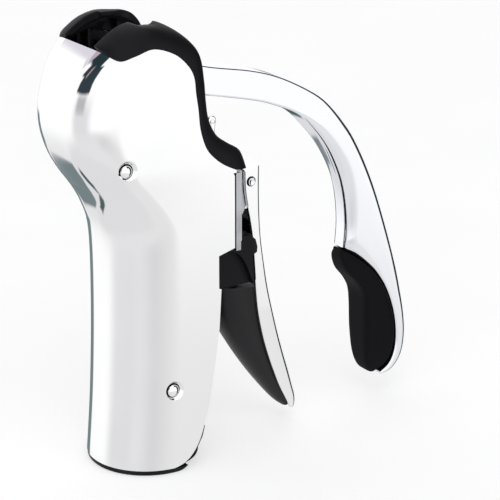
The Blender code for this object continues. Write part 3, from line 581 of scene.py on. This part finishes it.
def skin_normals(piece):
    """Exact normals on the casing's outer skin, so that its reflections run smoothly."""
    mesh = piece.data
    mesh.shade_smooth()
    mesh.set_sharp_from_angle(angle=radians(35))
    count = len(mesh.loops)
    normals = np.empty(count * 3)
    mesh.corner_normals.foreach_get("vector", normals)
    normals = normals.reshape(-1, 3)
    places = np.empty(len(mesh.vertices) * 3)
    mesh.vertices.foreach_get("co", places)
    places = places.reshape(-1, 3)
    corners = np.empty(count, dtype=np.int64)
    mesh.loops.foreach_get("vertex_index", corners)
    faces = np.empty(count, dtype=np.int64)
    for polygon in mesh.polygons:
        faces[polygon.loop_start:polygon.loop_start + polygon.loop_total] = polygon.index
    flat = np.empty(len(mesh.polygons) * 3)
    mesh.polygons.foreach_get("normal", flat)
    flat = flat.reshape(-1, 3)[faces]
    x, y, z = ((places[corners] - (AXIS_X, 0.0, BASE_Z)) / MM).T
    step = 0.5
    rise = 2.0
    exact = np.stack([outside(x + step, y, z) - outside(x - step, y, z),
                      outside(x, y + step, z) - outside(x, y - step, z),
                      (outside(x, y, z + rise) - outside(x, y, z - rise)) * step / rise], 1)
    exact /= np.maximum(np.linalg.norm(exact, axis=1, keepdims=True), 1e-9)
    on_skin = (np.abs(outside(x, y, z)) < 0.04) & ((exact * flat).sum(1) > 0.85)
    normals[on_skin] = exact[on_skin]
    mesh.normals_split_custom_set(normals.tolist())


def screw_recess(place, side):
    """Tool for a dished seat round a screw, with a softly rolled lip."""
    dish = [(4.7, 0.3), (4.7, 0.0), (4.3, -0.03), (3.95, -0.14), (3.6, -0.36), (3.35, -0.62),
            (3.2, -0.8), (3.05, -0.9), (2.9, -0.95)]
    hole_r = 2.85
    hole_end = side * (HALF_WIDTH - 2.4)
    profile = [(0, side * (HALF_WIDTH + 0.3))]
    profile += [(radius, side * (HALF_WIDTH + depth)) for radius, depth in dish]
    profile += [(hole_r, hole_end), (0, hole_end)]
    return turned(profile, place, segments=64)


def make_shell():
    """Formed shell with its screw seats and the step in its rear edge for the bracket."""
    sections = []
    for z in heights(SHELL_BOTTOM, 165.0):
        sections.append(plan_section(z, 0.0, BEYOND) + plan_section(z, WALL, BEYOND)[::-1])
    shell = new_object("shell", lofted(sections))
    rim = curve_through(CHROME_RIM, 7)
    outline = [(-BEYOND, SHELL_BOTTOM - 1), (-BEYOND, rim[0][1])] + rim
    outline += SHELL_BACK[:SHELL_BACK_CORNERS]
    outline += curve_through(SHELL_BACK[SHELL_BACK_CORNERS:], 5)
    outline.append((SHELL_BACK[-1][0], SHELL_BOTTOM - 1))
    combine(shell, prism(outline, -FAR_SIDE, FAR_SIDE), "INTERSECT")
    for side in (-1, 1):
        for place in SCREWS.values():
            combine(shell, screw_recess(place, side))
    notch = [(24.0, 81.0), (24.0, 109.6), (23.4, 110.6), (30.0, 110.6), (30.0, 81.0)]
    combine(shell, prism(notch, -FAR_SIDE, FAR_SIDE))
    finish_piece(shell, "housing", "shell_chrome", ["chrome_shell"], weighted=False)
    skin_normals(shell)


def make_screw(name, place, side):
    """Button screw with a low dome."""
    seat = HALF_WIDTH - 1.0
    inner_end = HALF_WIDTH - 4.5
    shaft_r = 1.6
    dome = [(0, 0.55), (0.6, 0.52), (1.1, 0.43), (1.5, 0.28), (1.85, 0.06), (2.1, -0.18),
            (2.28, -0.42), (2.32, -0.6)]
    profile = [(radius, side * (HALF_WIDTH + depth)) for radius, depth in dome]
    profile += [(dome[-1][0], side * seat), (shaft_r, side * seat),
                (shaft_r, side * inner_end), (0, side * inner_end)]
    screw = new_object(f"{name}_button", turned(profile, place, segments=40))
    finish_piece(screw, "housing", "shell_chrome", [name])


def crown_sections(side):
    """Sections of a cheek's crown: a rounded shoulder from the shell's rim to the slot's edge."""
    steps = 16
    round_edge = 0.45
    low_line = curve_through(CHROME_RIM, 6)
    high_line = curve_through(BLACK_RIM, 6)
    sections = []
    for low, high in zip(low_line, high_line):
        rise = Vector((high[0] - low[0], high[1] - low[1]))
        out = rise.normalized()
        height = rise.length
        start = Vector(low) + out * GAP
        outer_y = half_width_at(low[0], low[1], 0.0) - GAP
        cavity_y = half_width_at(low[0], low[1], CAVITY + 0.2)
        seated = cavity_y > 13.0
        notch = blend_at([(-11.8, 0.0), (-9.8, 1.0), (-4.4, 1.0), (-2.0, 0.0)], high[0])
        open_share = min(max((high[0] - 1.0) / 10.0, 0.0), 1.0)
        edge_y = min(CROWN_EDGE + (CHEEK_IN - CROWN_EDGE) * open_share, outer_y - 2.4)
        if seated:
            edge_y = min(edge_y, cavity_y - 1.6)
        inner_y = cavity_y if seated else edge_y + 1.6
        seat_depth = 1.2 if seated else 0.05
        edge_y += 2.0 * notch
        lip = min(2.6, 0.4 * height)
        dip = 1.2 * notch
        points = []
        for index in range(steps + 1):
            angle = radians(90.0 * index / steps)
            level = height * sin(angle) - GAP - dip * sin(angle) ** 14
            points.append((level, edge_y + (outer_y - edge_y) * cos(angle)))
        top = height - GAP - dip
        points[-1] = (top, edge_y + round_edge)
        for angle in (30, 60, 90):
            points.append((top - round_edge * (1 - cos(radians(angle))),
                           edge_y + round_edge * (1 - sin(radians(angle)))))
        points.append((height - lip - GAP, edge_y))
        points.append((height - lip - 0.6, edge_y + 0.6))
        seat_y = max(min(CHEEK_IN, inner_y - 0.8), edge_y + 0.7)
        points += [(-seat_depth, seat_y), (-seat_depth, inner_y), (0.0, inner_y)]
        section = []
        for offset, y in points:
            spot = start + out * offset
            section.append((spot.x, side * y, spot.y))
        sections.append(section)
    return sections


def make_cheek(label, side):
    """Black cheek: plate, crown, rear lip, ribs inside the crown and the axles' holes."""
    rim = curve_through(CHROME_RIM, 4)
    top = [(x - 0.4, z - 0.9) for x, z in rim[8:]]
    tail = [(24.0, 96), (23.4, 84.0), (16.0, 81.6), (-BEYOND, 81.6)]
    plate = prism([(-BEYOND, 96), (-BEYOND, 157.4)] + top + tail,
                  *mirrored(side, (CHEEK_IN, FAR_SIDE)))
    cheek = new_object(f"{label}_crown", plate)
    combine(cheek, solid_casing(CAVITY, 1.0, 175.0, 28.0), "INTERSECT")
    combine(cheek, lofted(crown_sections(side)[1:]), "UNION")
    combine(cheek, block((23.0, 24.85), mirrored(side, (CHEEK_IN, 22.3)), (84.0, 109.2)), "UNION")
    swing = disc(SWING_R, *mirrored(side, (10.0, 14.8)))
    combine(cheek, turned(swing, PIVOT, segments=96))
    combine(cheek, block((-6.5, -1.8), mirrored(side, (14.4, 17.7)), (130.0, 163.8)))
    ribs = [(-9.4, 2.6, 15.2, 156.0), (-1.6, 2.6, 15.2, 156.0), (-22.0, 0.9, 15.6, 157.0),
            (-17.8, 0.9, 15.4, 160.0), (-13.6, 0.9, 15.2, 161.0)]
    for x, thick, near, high in ribs:
        rib = block((x, x + thick), mirrored(side, (near, 18.8)), (133.5, high))
        combine(cheek, rib, "UNION")
    for centre, radius in ((PIVOT, 2.5), (PINION, 2.3), (SCREWS["upper"], SCREW_HOLE_R)):
        combine(cheek, turned(disc(radius, *mirrored(side, (10.0, 21.6))), centre))
    finish_piece(cheek, "housing", "black_plastic", [f"{label}_cheek"], 32.0)


def make_liner():
    """Black neck liner with its rounded foot rim and mouth ring."""
    outline = [(-BEYOND, -5.0), (-BEYOND, 70.0), (2.0, 70.0), (9.0, 63.0), (14.0, 52.0), (13.6, 39.6),
               (11.4, 24.5), (10.4, 15.4), (11.7, 13.6), (10.6, 9.6), (7.6, 4.2), (4.0, 1.1),
               (0.6, -0.2), (0.6, -5.0)]
    liner = new_object("liner", solid_casing(CAVITY, 0.2, 71.0))
    combine(liner, prism(outline, -FAR_SIDE, FAR_SIDE), "INTERSECT")
    levels = ((FOOT, 1.1), (FOOT + 0.15, 0.72), (FOOT + 0.45, 0.42), (FOOT + 0.85, 0.24),
              (0.3, 0.2))
    foot = lofted([plan_section(0.0, inset, 3.2 + 2.5 * min(height, 0.0), height)
                   for height, inset in levels])
    combine(liner, foot, "UNION")
    passage = arc((0, 0), BORE_R, 90, 270, 48) + [(BEYOND, -BORE_R), (BEYOND, BORE_R)]
    combine(liner, plan_prism(passage, -5, 90))
    low = FOOT + 0.05
    ring = [(16.2, low + 0.3), (16.5, low), (17.7, low), (18.15, low + 0.2), (18.3, low + 0.6),
            (18.3, 5.0), (17.6, 5.8), (16.2, 5.8)]
    combine(liner, turned(ring, (0, 0), "Z", 72), "UNION")
    for side in (-1, 1):
        hole = disc(SCREW_HOLE_R, *mirrored(side, (17.0, 24.0)))
        combine(liner, turned(hole, SCREWS["lower"]))
    finish_piece(liner, "housing", "black_casting", ["neck_liner"], 32.0)


def make_neck_pad():
    """Soft pad with shallow grooves across its face, from (height, depth) pairs."""
    sections = [(56.0, 0.7), (56.3, 0.25), (57.0, 0.0)]
    for index in range(1, 12):
        z = 57.0 + index * 0.95
        sections += [(z, 0.0), (z + 0.25, 0.28), (z + 0.45, 0.28), (z + 0.7, 0.0)]
    sections += [(69.1, 0.25), (69.4, 0.7)]
    rings = []
    for z, groove in sections:
        outer = arc((0, 0), BORE_R - GAP, 130, 230, 30)
        inner = arc((0, 0), BORE_R - 1.9 + groove, 230, 130, 30)
        rings.append([(x, y, z) for x, y in outer + inner])
    pad = new_object("pressure_pad", lofted(rings))
    finish_piece(pad, "housing", "black_rubber", ["neck_pad"])


def make_bracket():
    """Pressed bracket with side strips, and lugs that hold the clamp pin."""
    web = new_object("bracket", block((25.2, 27.0), (-22.4, 22.4), (86.0, 110.2)))
    for side in (-1, 1):
        strip = block((25.0, 27.0), mirrored(side, (21.0, 22.4)), (80.6, 110.0))
        combine(web, strip, "UNION")
        wing = block((25.2, 28.4), mirrored(side, (19.4, 20.8)), (83.4, 110.4))
        combine(web, wing, "UNION")
        outline = [(26.0, 106.0), (26.0, 86.2), (31.5, 87.0), (35.5, 89.6), (38.2, 94.5),
                   (40.4, 100.6), (40.4, 104.2), (39.2, 105.6)]
        combine(web, prism(outline, *mirrored(side, (8.6, 10.3))), "UNION")
    soften(web, 0.45)
    combine(web, turned(disc(PIN_R + GAP, -14, 14), CLAMP_PIN))
    finish_piece(web, "housing", "shell_chrome", ["rear_bracket"], finish="steel")


def make_clamp_pin():
    """Pin with a dished end on each side, a little proud of the clamp lever."""
    reach = CLAMP_HALF + 0.9
    half = [(0, reach - 0.3), (0.6, reach - 0.28), (1.0, reach - 0.08), (1.2, reach),
            (PIN_R - 0.1, reach - 0.08), (PIN_R, reach - 0.3)]
    profile = half + [(radius, -along) for radius, along in half[::-1]]
    pin = new_object("hinge_pin", turned(profile, CLAMP_PIN, segments=48))
    finish_piece(pin, "housing", "shell_chrome", ["clamp_pin"])


def make_rest_tab(label, side):
    """Small stop with a rounded top and a rivet."""
    outline = [(16.2, 116.8), (19.4, 121.0)] + arc((18.9, 129.3), 1.7, -20, 180, 20)
    outline.append((17.2, 121.4))
    tab = new_object(f"{label}_stop", prism(outline, *mirrored(side, (15.0, 16.2))))
    soften(tab, 0.45)
    rivet = turned(disc(0.9, *mirrored(side, (14.6, 16.6)), 0.25), (18.9, 128.9), segments=28)
    combine(tab, rivet, "UNION")
    finish_piece(tab, "housing", "shell_chrome", [f"{label}_rest_tab"])


# ------------------------------ main lever

# Points of the arm's outer line, each with the point across from it on the inner line
ARM_PAIRS = [((-4.3, 152.8), (-4.7, 138.9)), ((10, 150.2), (7, 138.6)),
             ((57, 137.3), (53.3, 127.4)), ((79.3, 122.9), (71, 115.5)),
             ((96.1, 97.6), (85.0, 92)), ((105.3, 74), (87.2, 64.2)),
             ((110.1, 59.1), (100.8, 52.6)), ((113.7, 46), (105.6, 46)),
             ((117.0, 21.6), (112.2, 22)), ((110.6, 8.6), (108.8, 10.9)),
             ((105.0, 7.6), (104.6, 8.6))]


def arm_half(x):
    """Half of the arm's width, which grows from the hub to the grip."""
    share = min(max((x - 20.0) / 60.0, 0.0), 1.0)
    return ARM_HALF_ROOT + (ARM_HALF_TIP - ARM_HALF_ROOT) * share


def arm_ring(outer, inner):
    """One section of the arm: crisp outer edge, and an inner edge that rounds towards the grip."""
    outer = Vector(outer)
    inner = Vector(inner)
    across = inner - outer
    width = across.length
    across.normalize()
    half = arm_half(outer.x)
    along = outer.x - outer.y
    crisp = min(blend_at([(-100, 0.8), (-60, 1.0), (-30, 1.9), (110, 2.1)], along), 0.3 * width)
    deep = blend_at([(-95, 0.8), (-60, 1.0), (-40, 3.6), (-8, 5.6), (10, 6.0), (31, 6.2),
                     (45, 3.0), (60, 1.4), (110, 0.8)], along)
    deep = min(deep, 0.55 * width)
    tall = min(0.72 * half, 0.8 * deep + 0.2)
    side = [(0.0, 0.0), (0.0, 0.5 * (half - crisp)), (0.0, half - crisp)]
    for angle in (22.5, 45, 67.5, 90):
        side.append((crisp * (1 - cos(radians(angle))),
                     half - crisp * (1 - sin(radians(angle)))))
    side.append((crisp + 0.35 * (width - crisp - deep), half))
    side.append((crisp + 0.75 * (width - crisp - deep), half))
    for angle in range(0, 91, 10):
        side.append((width - deep * (1 - sin(radians(angle))),
                     half - tall * (1 - cos(radians(angle)))))
    side.append((width, 0.5 * (half - tall)))
    ring = side + [(width, 0.0)] + [(u, -y) for u, y in side[:0:-1]]
    return [((outer + across * u).x, y, (outer + across * u).y) for u, y in ring]


def make_lever_arm():
    """Plated arm: hub, swept bar and the back strip behind the grip."""
    seam = [(x + 0.25, z - 0.15) for x, z in curve_through(GRIP_SEAM, 12)]
    outer = curve_through([ARM_PAIRS[0][0]] + ARM_OUTER, 12)
    inner = curve_through([ARM_PAIRS[0][1]] + ARM_INNER, 12) + seam
    steps = (4, 16, 10, 10, 9, 8, 7, 10, 8, 4)
    outer_line = resample(outer, [pair[0] for pair in ARM_PAIRS], steps)
    inner_line = resample(inner, [pair[1] for pair in ARM_PAIRS], steps)
    arm = new_object("arm", lofted([arm_ring(*pair) for pair in zip(outer_line, inner_line)]))
    hub = disc(HUB_R, -HUB_HALF, HUB_HALF, 0.6)
    boss = disc(BOSS_R, -BOSS_HALF, BOSS_HALF, 0.5)
    for profile in (hub, boss):
        combine(arm, turned(profile, PIVOT, segments=72), "UNION")
    combine(arm, turned(disc(AXLE_HOLE_R, -20, 20), PIVOT))
    finish_piece(arm, "main_lever", "lever_chrome", ["lever_arm"], 38.0)


def squared(value):
    """A sine or cosine drawn out towards its ends, which turns a circle into a squarer ring."""
    return copysign(abs(value) ** 0.4, value)


PILLOW = [(squared(cos(tau * k / 48)), squared(sin(tau * k / 48))) for k in range(48)]


def make_lever_grip():
    """Soft black grip, a smooth pillow swelling out of the arm's inner side."""
    seam = crowded(curve_through(GRIP_SEAM, 12), GRIP_STATIONS)
    inner = crowded(curve_through(GRIP_INNER[::-1], 12), GRIP_STATIONS)
    sections = []
    for index, (near, far) in enumerate(zip(seam, inner)):
        share = index / GRIP_STATIONS
        near = Vector(near)
        far = Vector(far)
        middle = (near + far) / 2
        reach = (far - near) / 2
        half = GRIP_HALF * max(sin(pi * (1 - cos(pi * share)) / 2), 0.03) ** 0.32
        half = min(half, 4.6 * max(reach.length, 0.25))
        ring = []
        for u, w in PILLOW:
            spot = middle + reach * u
            ring.append((spot.x, half * w, spot.y))
        sections.append(ring)
    grip = new_object("hand_grip", lofted(sections))
    finish_piece(grip, "main_lever", "black_rubber", ["lever_grip"], 80.0)


# ------------------------------ clamp lever

def clamp_half(z):
    """Half of the clamp lever's width, which narrows to its lower tip."""
    share = min(max((50.0 - z) / 46.0, 0.0), 1.0)
    return CLAMP_HALF * (1.0 - 0.62 * share ** 1.6)


def make_clamp_lever():
    """Pressed channel with rolled corners and a closed, sloping top."""
    sections = []
    for back, front in zip(curve_through(CLAMP_BACK, 6), curve_through(CLAMP_FRONT, 6)):
        rear = Vector(back)
        edge = Vector(front)
        half = clamp_half(back[1])
        width = (edge - rear).length
        inward = (edge - rear).normalized()
        roll = min(CLAMP_ROUND, 0.3 * width)
        narrow = half - CLAMP_SHEET
        inside = rear + inward * min(CLAMP_SHEET, 0.6 * width)
        tip = 0.18 * min(1.0, width)
        ring = [(edge, -half + tip), (edge - inward * tip, -half)]
        for angle in (0, 22.5, 45, 67.5, 90):
            turn = radians(angle)
            ring.append((rear + inward * roll * (1 - sin(turn)), -half + roll * (1 - cos(turn))))
        ring += [(spot, -y) for spot, y in ring[::-1]]
        ring += [(edge, narrow), (inside, narrow), (inside, -narrow), (edge, -narrow)]
        sections.append([(spot.x, y, spot.y) for spot, y in ring])
    lever = new_object("clamp_channel", lofted(sections))
    back_x, back_z = CLAMP_BACK[0]
    front_x, front_z = CLAMP_FRONT[0]
    lid = [(front_x + 0.02, front_z - 0.02), (back_x - 0.5, back_z - 0.14),
           (back_x - 0.5, back_z - CLAMP_SHEET), (front_x + 0.02, front_z - CLAMP_SHEET)]
    combine(lever, prism(lid, 0.6 - CLAMP_HALF, CLAMP_HALF - 0.6), "UNION")
    for side in (-1, 1):
        chamfer = [[(x, side * y, z + rise) for y, rise in
                    ((CLAMP_HALF + 0.2, -1.0), (CLAMP_HALF + 0.2, 0.2), (CLAMP_HALF - 0.75, 0.2))]
                   for x, z in ((front_x - 0.5, front_z - 0.12), (back_x + 0.5, back_z + 0.12))]
        combine(lever, lofted(chamfer))
    combine(lever, turned(disc(PIN_R + 0.5, -20, 20), CLAMP_PIN))
    finish_piece(lever, "clamp", "shell_chrome", ["clamp_lever"], 38.0)


def make_clamp_grip():
    """Black grip in the channel, with a rounded nose."""
    front_line = curve_through(CLAMP_GRIP_FRONT, 6)
    back_line = curve_through(CLAMP_BACK[CLAMP_GRIP_START:-1], 6)
    clearance = CLAMP_SHEET + GAP
    sections = []
    for front, back in zip(front_line, back_line):
        tip = Vector(front)
        tail = Vector(back)
        along = (tail - tip).normalized()
        tail = tail - along * (clearance + 0.15)
        half = max(clamp_half(back[1]) - clearance - 0.1, 0.9)
        depth = (tail - tip).length
        crown = min(0.55 * depth, 1.25 * half)
        side = []
        for step in range(11):
            angle = radians(9.0 * step)
            side.append((crown * (1 - cos(angle)), half * 0.93 * sin(angle)))
        side.append((0.72 * depth, half * 0.955))
        side.append((0.78 * depth, half))
        side.append((0.86 * depth, half))
        side.append((depth, half * 0.985))
        ring = [(reach, -y) for reach, y in side[:0:-1]] + side
        sections.append([((tip + along * u).x, y, (tip + along * u).y) for u, y in ring])
    grip = new_object("clamp_handle", lofted(sections))
    finish_piece(grip, "clamp", "black_rubber", ["clamp_grip"], 50.0, finish="satin_black")


def make_jaw():
    """Jaw over the grip: a hollow face for the neck, a rolled collar and a flange on each side."""
    half = CLAMP_HALF - CLAMP_SHEET - GAP
    flange_in = CLAMP_HALF + GAP
    flange_out = flange_in + JAW_FLANGE
    low = 62.0
    roll = curve_through([(19.0, 78.6), (24.0, 80.4), (32.0, 81.6), (38.2, 82.0)], 5)
    collar = [(19.0, low)] + roll + [(39.3, low)]
    jaw = new_object("jaw", prism(collar, -flange_out, flange_out))
    soften(jaw, 0.8)
    flange = [(34.0, 71.0), (34.0, 81.6), (37.6, 81.6), (39.6, 79.6), (40.4, 76.6),
              (40.2, 74.6), (38.4, 73.6), (37.6, 71.0)]
    arch = curve_through([(20.7, 71.4), (23.2, 75.6), (28.0, 77.0), (32.6, 74.6), (35.8, 69.5),
                          (39.0, 61.0)], 8)
    hollow = [(20.7, 50.0)] + arch + [(39.0, 50.0)]
    for side in (-1, 1):
        plate = prism(flange, *mirrored(side, (flange_in, flange_out - 0.02)))
        combine(jaw, plate, "UNION")
        combine(jaw, prism(hollow, *mirrored(side, (half + 0.1, 20.0))))
    tail = block((30.0, 42.2), (-half, half), (low + 0.8, 76.0))
    combine(jaw, tail, "UNION")
    combine(jaw, turned(disc(BORE_R + 0.6, 50, 90), JAW_CENTRE, "Z", 96))
    finish_piece(jaw, "clamp", "black_plastic", ["clamp_jaw"])


def make_jaw_pad():
    """Ribbed pad on the jaw's hollow face."""
    rings = []
    for index in range(9):
        z = 64.0 + 13.6 * index / 9
        for rise, groove in ((0.0, 0.35), (0.2, 0.0), (1.05, 0.0), (1.3, 0.35)):
            outer = arc(JAW_CENTRE, BORE_R + 0.3, -32, 32, 24)
            inner = arc(JAW_CENTRE, BORE_R - 1.3 + groove, 32, -32, 24)
            rings.append([(x, y, z + rise) for x, y in outer + inner])
    pad = new_object("jaw_face", lofted(rings))
    finish_piece(pad, "clamp", "black_rubber", ["jaw_pad"])


# ------------------------------ worm

def make_worm():
    """Open helix with a ground tip, whose upper end straightens into the shank."""
    lead, radius, wire, shank = 9.0, 3.2, 1.35, 2.2
    tip, top = 35.0, CARRIAGE_BOTTOM - 5.0
    per_turn = 40
    count = int((top - tip) / lead * per_turn)
    points = []
    radii = []
    for index in range(count + 1):
        z = tip + (top - tip) * index / count
        angle = tau * (z - tip) / lead
        points.append((radius * cos(angle), radius * sin(angle), z))
        radii.append(wire * min(1.0, 0.2 + 0.8 * index / (per_turn * 0.8)))
    for index in range(1, 21):
        share = index / 20
        z = top + 4.4 * share
        angle = tau * (z - tip) / lead
        reach = radius * (1.0 - share) ** 1.2
        points.append((reach * cos(angle), reach * sin(angle), z))
        radii.append(wire + (shank - wire) * share)
    points += [(0, 0, CARRIAGE_BOTTOM), (0, 0, CARRIAGE_TOP + 3.3), (0, 0, CARRIAGE_TOP + 3.6)]
    radii += [shank, shank, shank - 0.3]
    screw = new_object("helix", swept(points, radii, 18))
    finish_piece(screw, "worm", "steel", ["worm"], 50.0)


def make_spring():
    """Torsion spring round the clamp pin."""
    wire = 0.4
    coil = PIN_R + GAP + wire
    turns = 5.25
    reach = 7.4
    points = [(28.0, -reach, CLAMP_PIN[1] + coil)]
    for index in range(169):
        share = index / 168
        angle = pi / 2 - tau * turns * share
        points.append((CLAMP_PIN[0] + coil * cos(angle), reach * (2 * share - 1),
                       CLAMP_PIN[1] + coil * sin(angle)))
    points.append((CLAMP_PIN[0] + coil - 0.5, reach, 98.4))
    spring = new_object("coil_spring", swept(points, [wire] * len(points), 12))
    finish_piece(spring, "housing", "steel", ["clamp_spring"], 50.0)


# ------------------------------ carried-over nodes

def refinish_nodes():
    """The gear train and other inner pieces keep their CAD shape, with rounded edges."""
    paired = {"steel": ("sector_gear", "pinion", "rack", "pinion_axle"), "brass": ("lever_bush",)}
    single = {"steel": ["lever_axle"], "brass": ["worm_nut", "worm_bearing", "worm_retainer"],
              "black_casting": ["nut_bridge", "carriage_block"]}
    for slot, names in single.items():
        sided = [f"{label}_{name}" for label, side in SIDES for name in paired.get(slot, ())]
        for name in names + sided:
            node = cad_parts[name]
            node.data.materials.clear()
            node.data.materials.append(FINISHES[slot])
            add_bevel(node, 0.12, 2, 40)


# ------------------------------ studio

def window(n, azimuth, elevation, centre, half, edge, low, high, ramp):
    """Soft-edged patch of the sky: azimuth from +Y towards +X, and elevation, in degrees."""
    turn = n.math("SUBTRACT", azimuth, centre)
    turn = n.math("ABSOLUTE", n.math("WRAP", turn, 180.0, -180.0))
    across = n.remap(turn, half - edge, half + edge, 1.0, 0.0, True)
    up = n.remap(elevation, low - ramp, low + ramp, 0.0, 1.0, True)
    down = n.remap(elevation, high - ramp, high + ramp, 1.0, 0.0, True)
    return n.math("MULTIPLY", across, n.math("MULTIPLY", up, down))


SKY_BASE = (1.08, 1.08, 1.08)
SKY_PATCHES = [
    # centre, half width, edge, lowest, highest, ramp, colour
    (180, 181, 1, -91, -26, 10, (0.765, 0.76, 0.77)),
    (150, 34, 16, -60, -19.5, 5, (0.84, 0.835, 0.83)),
    (210, 48, 12, -40, -17.5, 5, (0.81, 0.805, 0.81)),
    (208, 22, 22, -27, -17, 4.5, (0.715, 0.71, 0.72)),
    (258, 36, 20, -38, -17, 8, (0.80, 0.795, 0.81)),
    (268, 24, 12, -22, 6, 6, (0.77, 0.765, 0.775)),
    (274, 13, 6, 1, 10, 3.5, (0.5, 0.5, 0.53)),
    (343, 20, 4, 27, 60, 1.5, (0.74, 0.71, 0.78)),
    (334, 14, 4, 34, 60, 1.5, (0.5, 0.42, 0.48)),
    (277, 20, 2, 10.5, 28, 1.5, (0.035, 0.05, 0.06)),
    (281, 25, 2.5, 25, 42, 2.0, (0.03, 0.05, 0.055)),
    (296, 28, 3, 38, 57, 2.0, (0.02, 0.04, 0.045)),
    (289, 2.5, 2, 26, 40, 3.0, (0.45, 0.3, 0.34)),
    (18, 26, 3, -26, -14, 1.5, (0.18, 0.235, 0.245)),
    (23, 19, 3, -32, -24, 1.5, (0.2, 0.245, 0.255)),
    (0, 9, 2, -39.5, -30.5, 1.5, (0.19, 0.235, 0.245)),
    (335, 6, 2, -54, -41, 2, (0.08, 0.115, 0.12)),
    (92, 34, 6, -40, 62, 6, (0.018, 0.034, 0.038)),
    (128, 15, 5, 30, 60, 5, (0.018, 0.034, 0.038)),
    (65, 42, 8, -64, -34, 5, (0.045, 0.075, 0.08)),
    (33, 12, 4, -32, -8, 4, (0.075, 0.115, 0.122)),
]


def make_sky():
    """White studio round the object, with the dark edges that polished metal mirrors."""
    world = bpy.data.worlds.new("studio")
    world.use_nodes = True
    bpy.context.scene.world = world
    tree = world.node_tree
    n = Nodes(tree)
    background = tree.nodes["Background"]
    split = n.add("ShaderNodeSeparateXYZ")
    n.link(n.add("ShaderNodeTexCoord").outputs["Generated"], split.inputs[0])
    x, y, z = split.outputs
    azimuth = n.math("DEGREES", n.math("ARCTAN2", x, y))
    elevation = n.math("DEGREES", n.math("ARCSINE", z))
    colour = SKY_BASE
    for centre, half, edge, low, high, ramp, patch in SKY_PATCHES:
        share = window(n, azimuth, elevation, centre, half, edge, low, high, ramp)
        colour = n.mix(share, colour, patch)
    seen = n.add("ShaderNodeLightPath").outputs["Is Camera Ray"]
    n.link(n.mix(seen, colour, (1.0, 1.0, 1.0)), background.inputs["Color"])
    background.inputs["Strength"].default_value = 1.0


def make_floor():
    """Plain pale floor, left out of the mirror image of the studio."""
    bm = bmesh.new()
    rings = [[bm.verts.new((radius * cos(tau * k / 48), radius * sin(tau * k / 48), 0.0))
              for k in range(48)] for radius in (0.5, 14.0)]
    for k in range(48):
        after = (k + 1) % 48
        bm.faces.new((rings[0][k], rings[1][k], rings[1][after], rings[0][after]))
    bm.faces.new(rings[0])
    mesh = bpy.data.meshes.new("floor")
    bm.to_mesh(mesh)
    bm.free()
    floor = bpy.data.objects.new("floor", mesh)
    bpy.context.collection.objects.link(floor)
    floor.location.z = CAD_BOX[0][2] - 0.0001
    material, shader, n = new_finish("pale_paper")
    tone = n.noise(14.0, 3.0, seed=7.0)
    n.link(n.mix(n.remap(tone, 0.3, 0.7, 0.0, 1.0), (0.43, 0.43, 0.43), (0.45, 0.45, 0.45)),
           shader.inputs["Base Color"])
    shader.inputs["Emission Color"].default_value = (1.0, 1.0, 1.0, 1.0)
    shader.inputs["Emission Strength"].default_value = 0.61
    shader.inputs["Roughness"].default_value = 0.9
    shader.inputs["Specular IOR Level"].default_value = 0.1
    mesh.materials.append(material)
    floor.visible_glossy = False


def make_light(name, place, target, size, power):
    """Round soft light aimed at a place, and left out of mirror images."""
    light = bpy.data.lights.new(name, "AREA")
    light.shape = "DISK"
    light.size = size
    light.energy = power
    item = bpy.data.objects.new(name, light)
    bpy.context.collection.objects.link(item)
    item.location = place
    aim = Vector(target) - Vector(place)
    item.rotation_euler = aim.to_track_quat("-Z", "Y").to_euler()
    item.visible_glossy = False


def make_camera():
    """Camera in front of the left side, a little above the head."""
    camera = bpy.data.cameras.new("camera")
    camera.sensor_width = 36.0
    camera.lens = 140.112
    camera.clip_start = 0.01
    item = bpy.data.objects.new("camera", camera)
    bpy.context.collection.objects.link(item)
    item.location = (-0.3787, -0.5863, 0.3172)
    item.rotation_euler = (radians(70.72), 0.0, radians(-33.23))
    bpy.context.scene.camera = item


make_camera()
make_sky()
make_floor()
make_light("key", (-0.5, -0.8, 1.3), (0.0, 0.0, 0.08), 0.9, 3.0)
bpy.context.scene.view_settings.view_transform = "Standard"

make_shell()
for label, side in SIDES:
    for level, place in SCREWS.items():
        make_screw(f"{level}_screw_{label}", place, side)
    make_cheek(label, side)
    make_rest_tab(label, side)
make_liner()
make_neck_pad()
make_bracket()
make_clamp_pin()
make_spring()
make_lever_arm()
make_lever_grip()
make_clamp_lever()
make_clamp_grip()
make_jaw()
make_jaw_pad()
make_worm()
refinish_nodes()
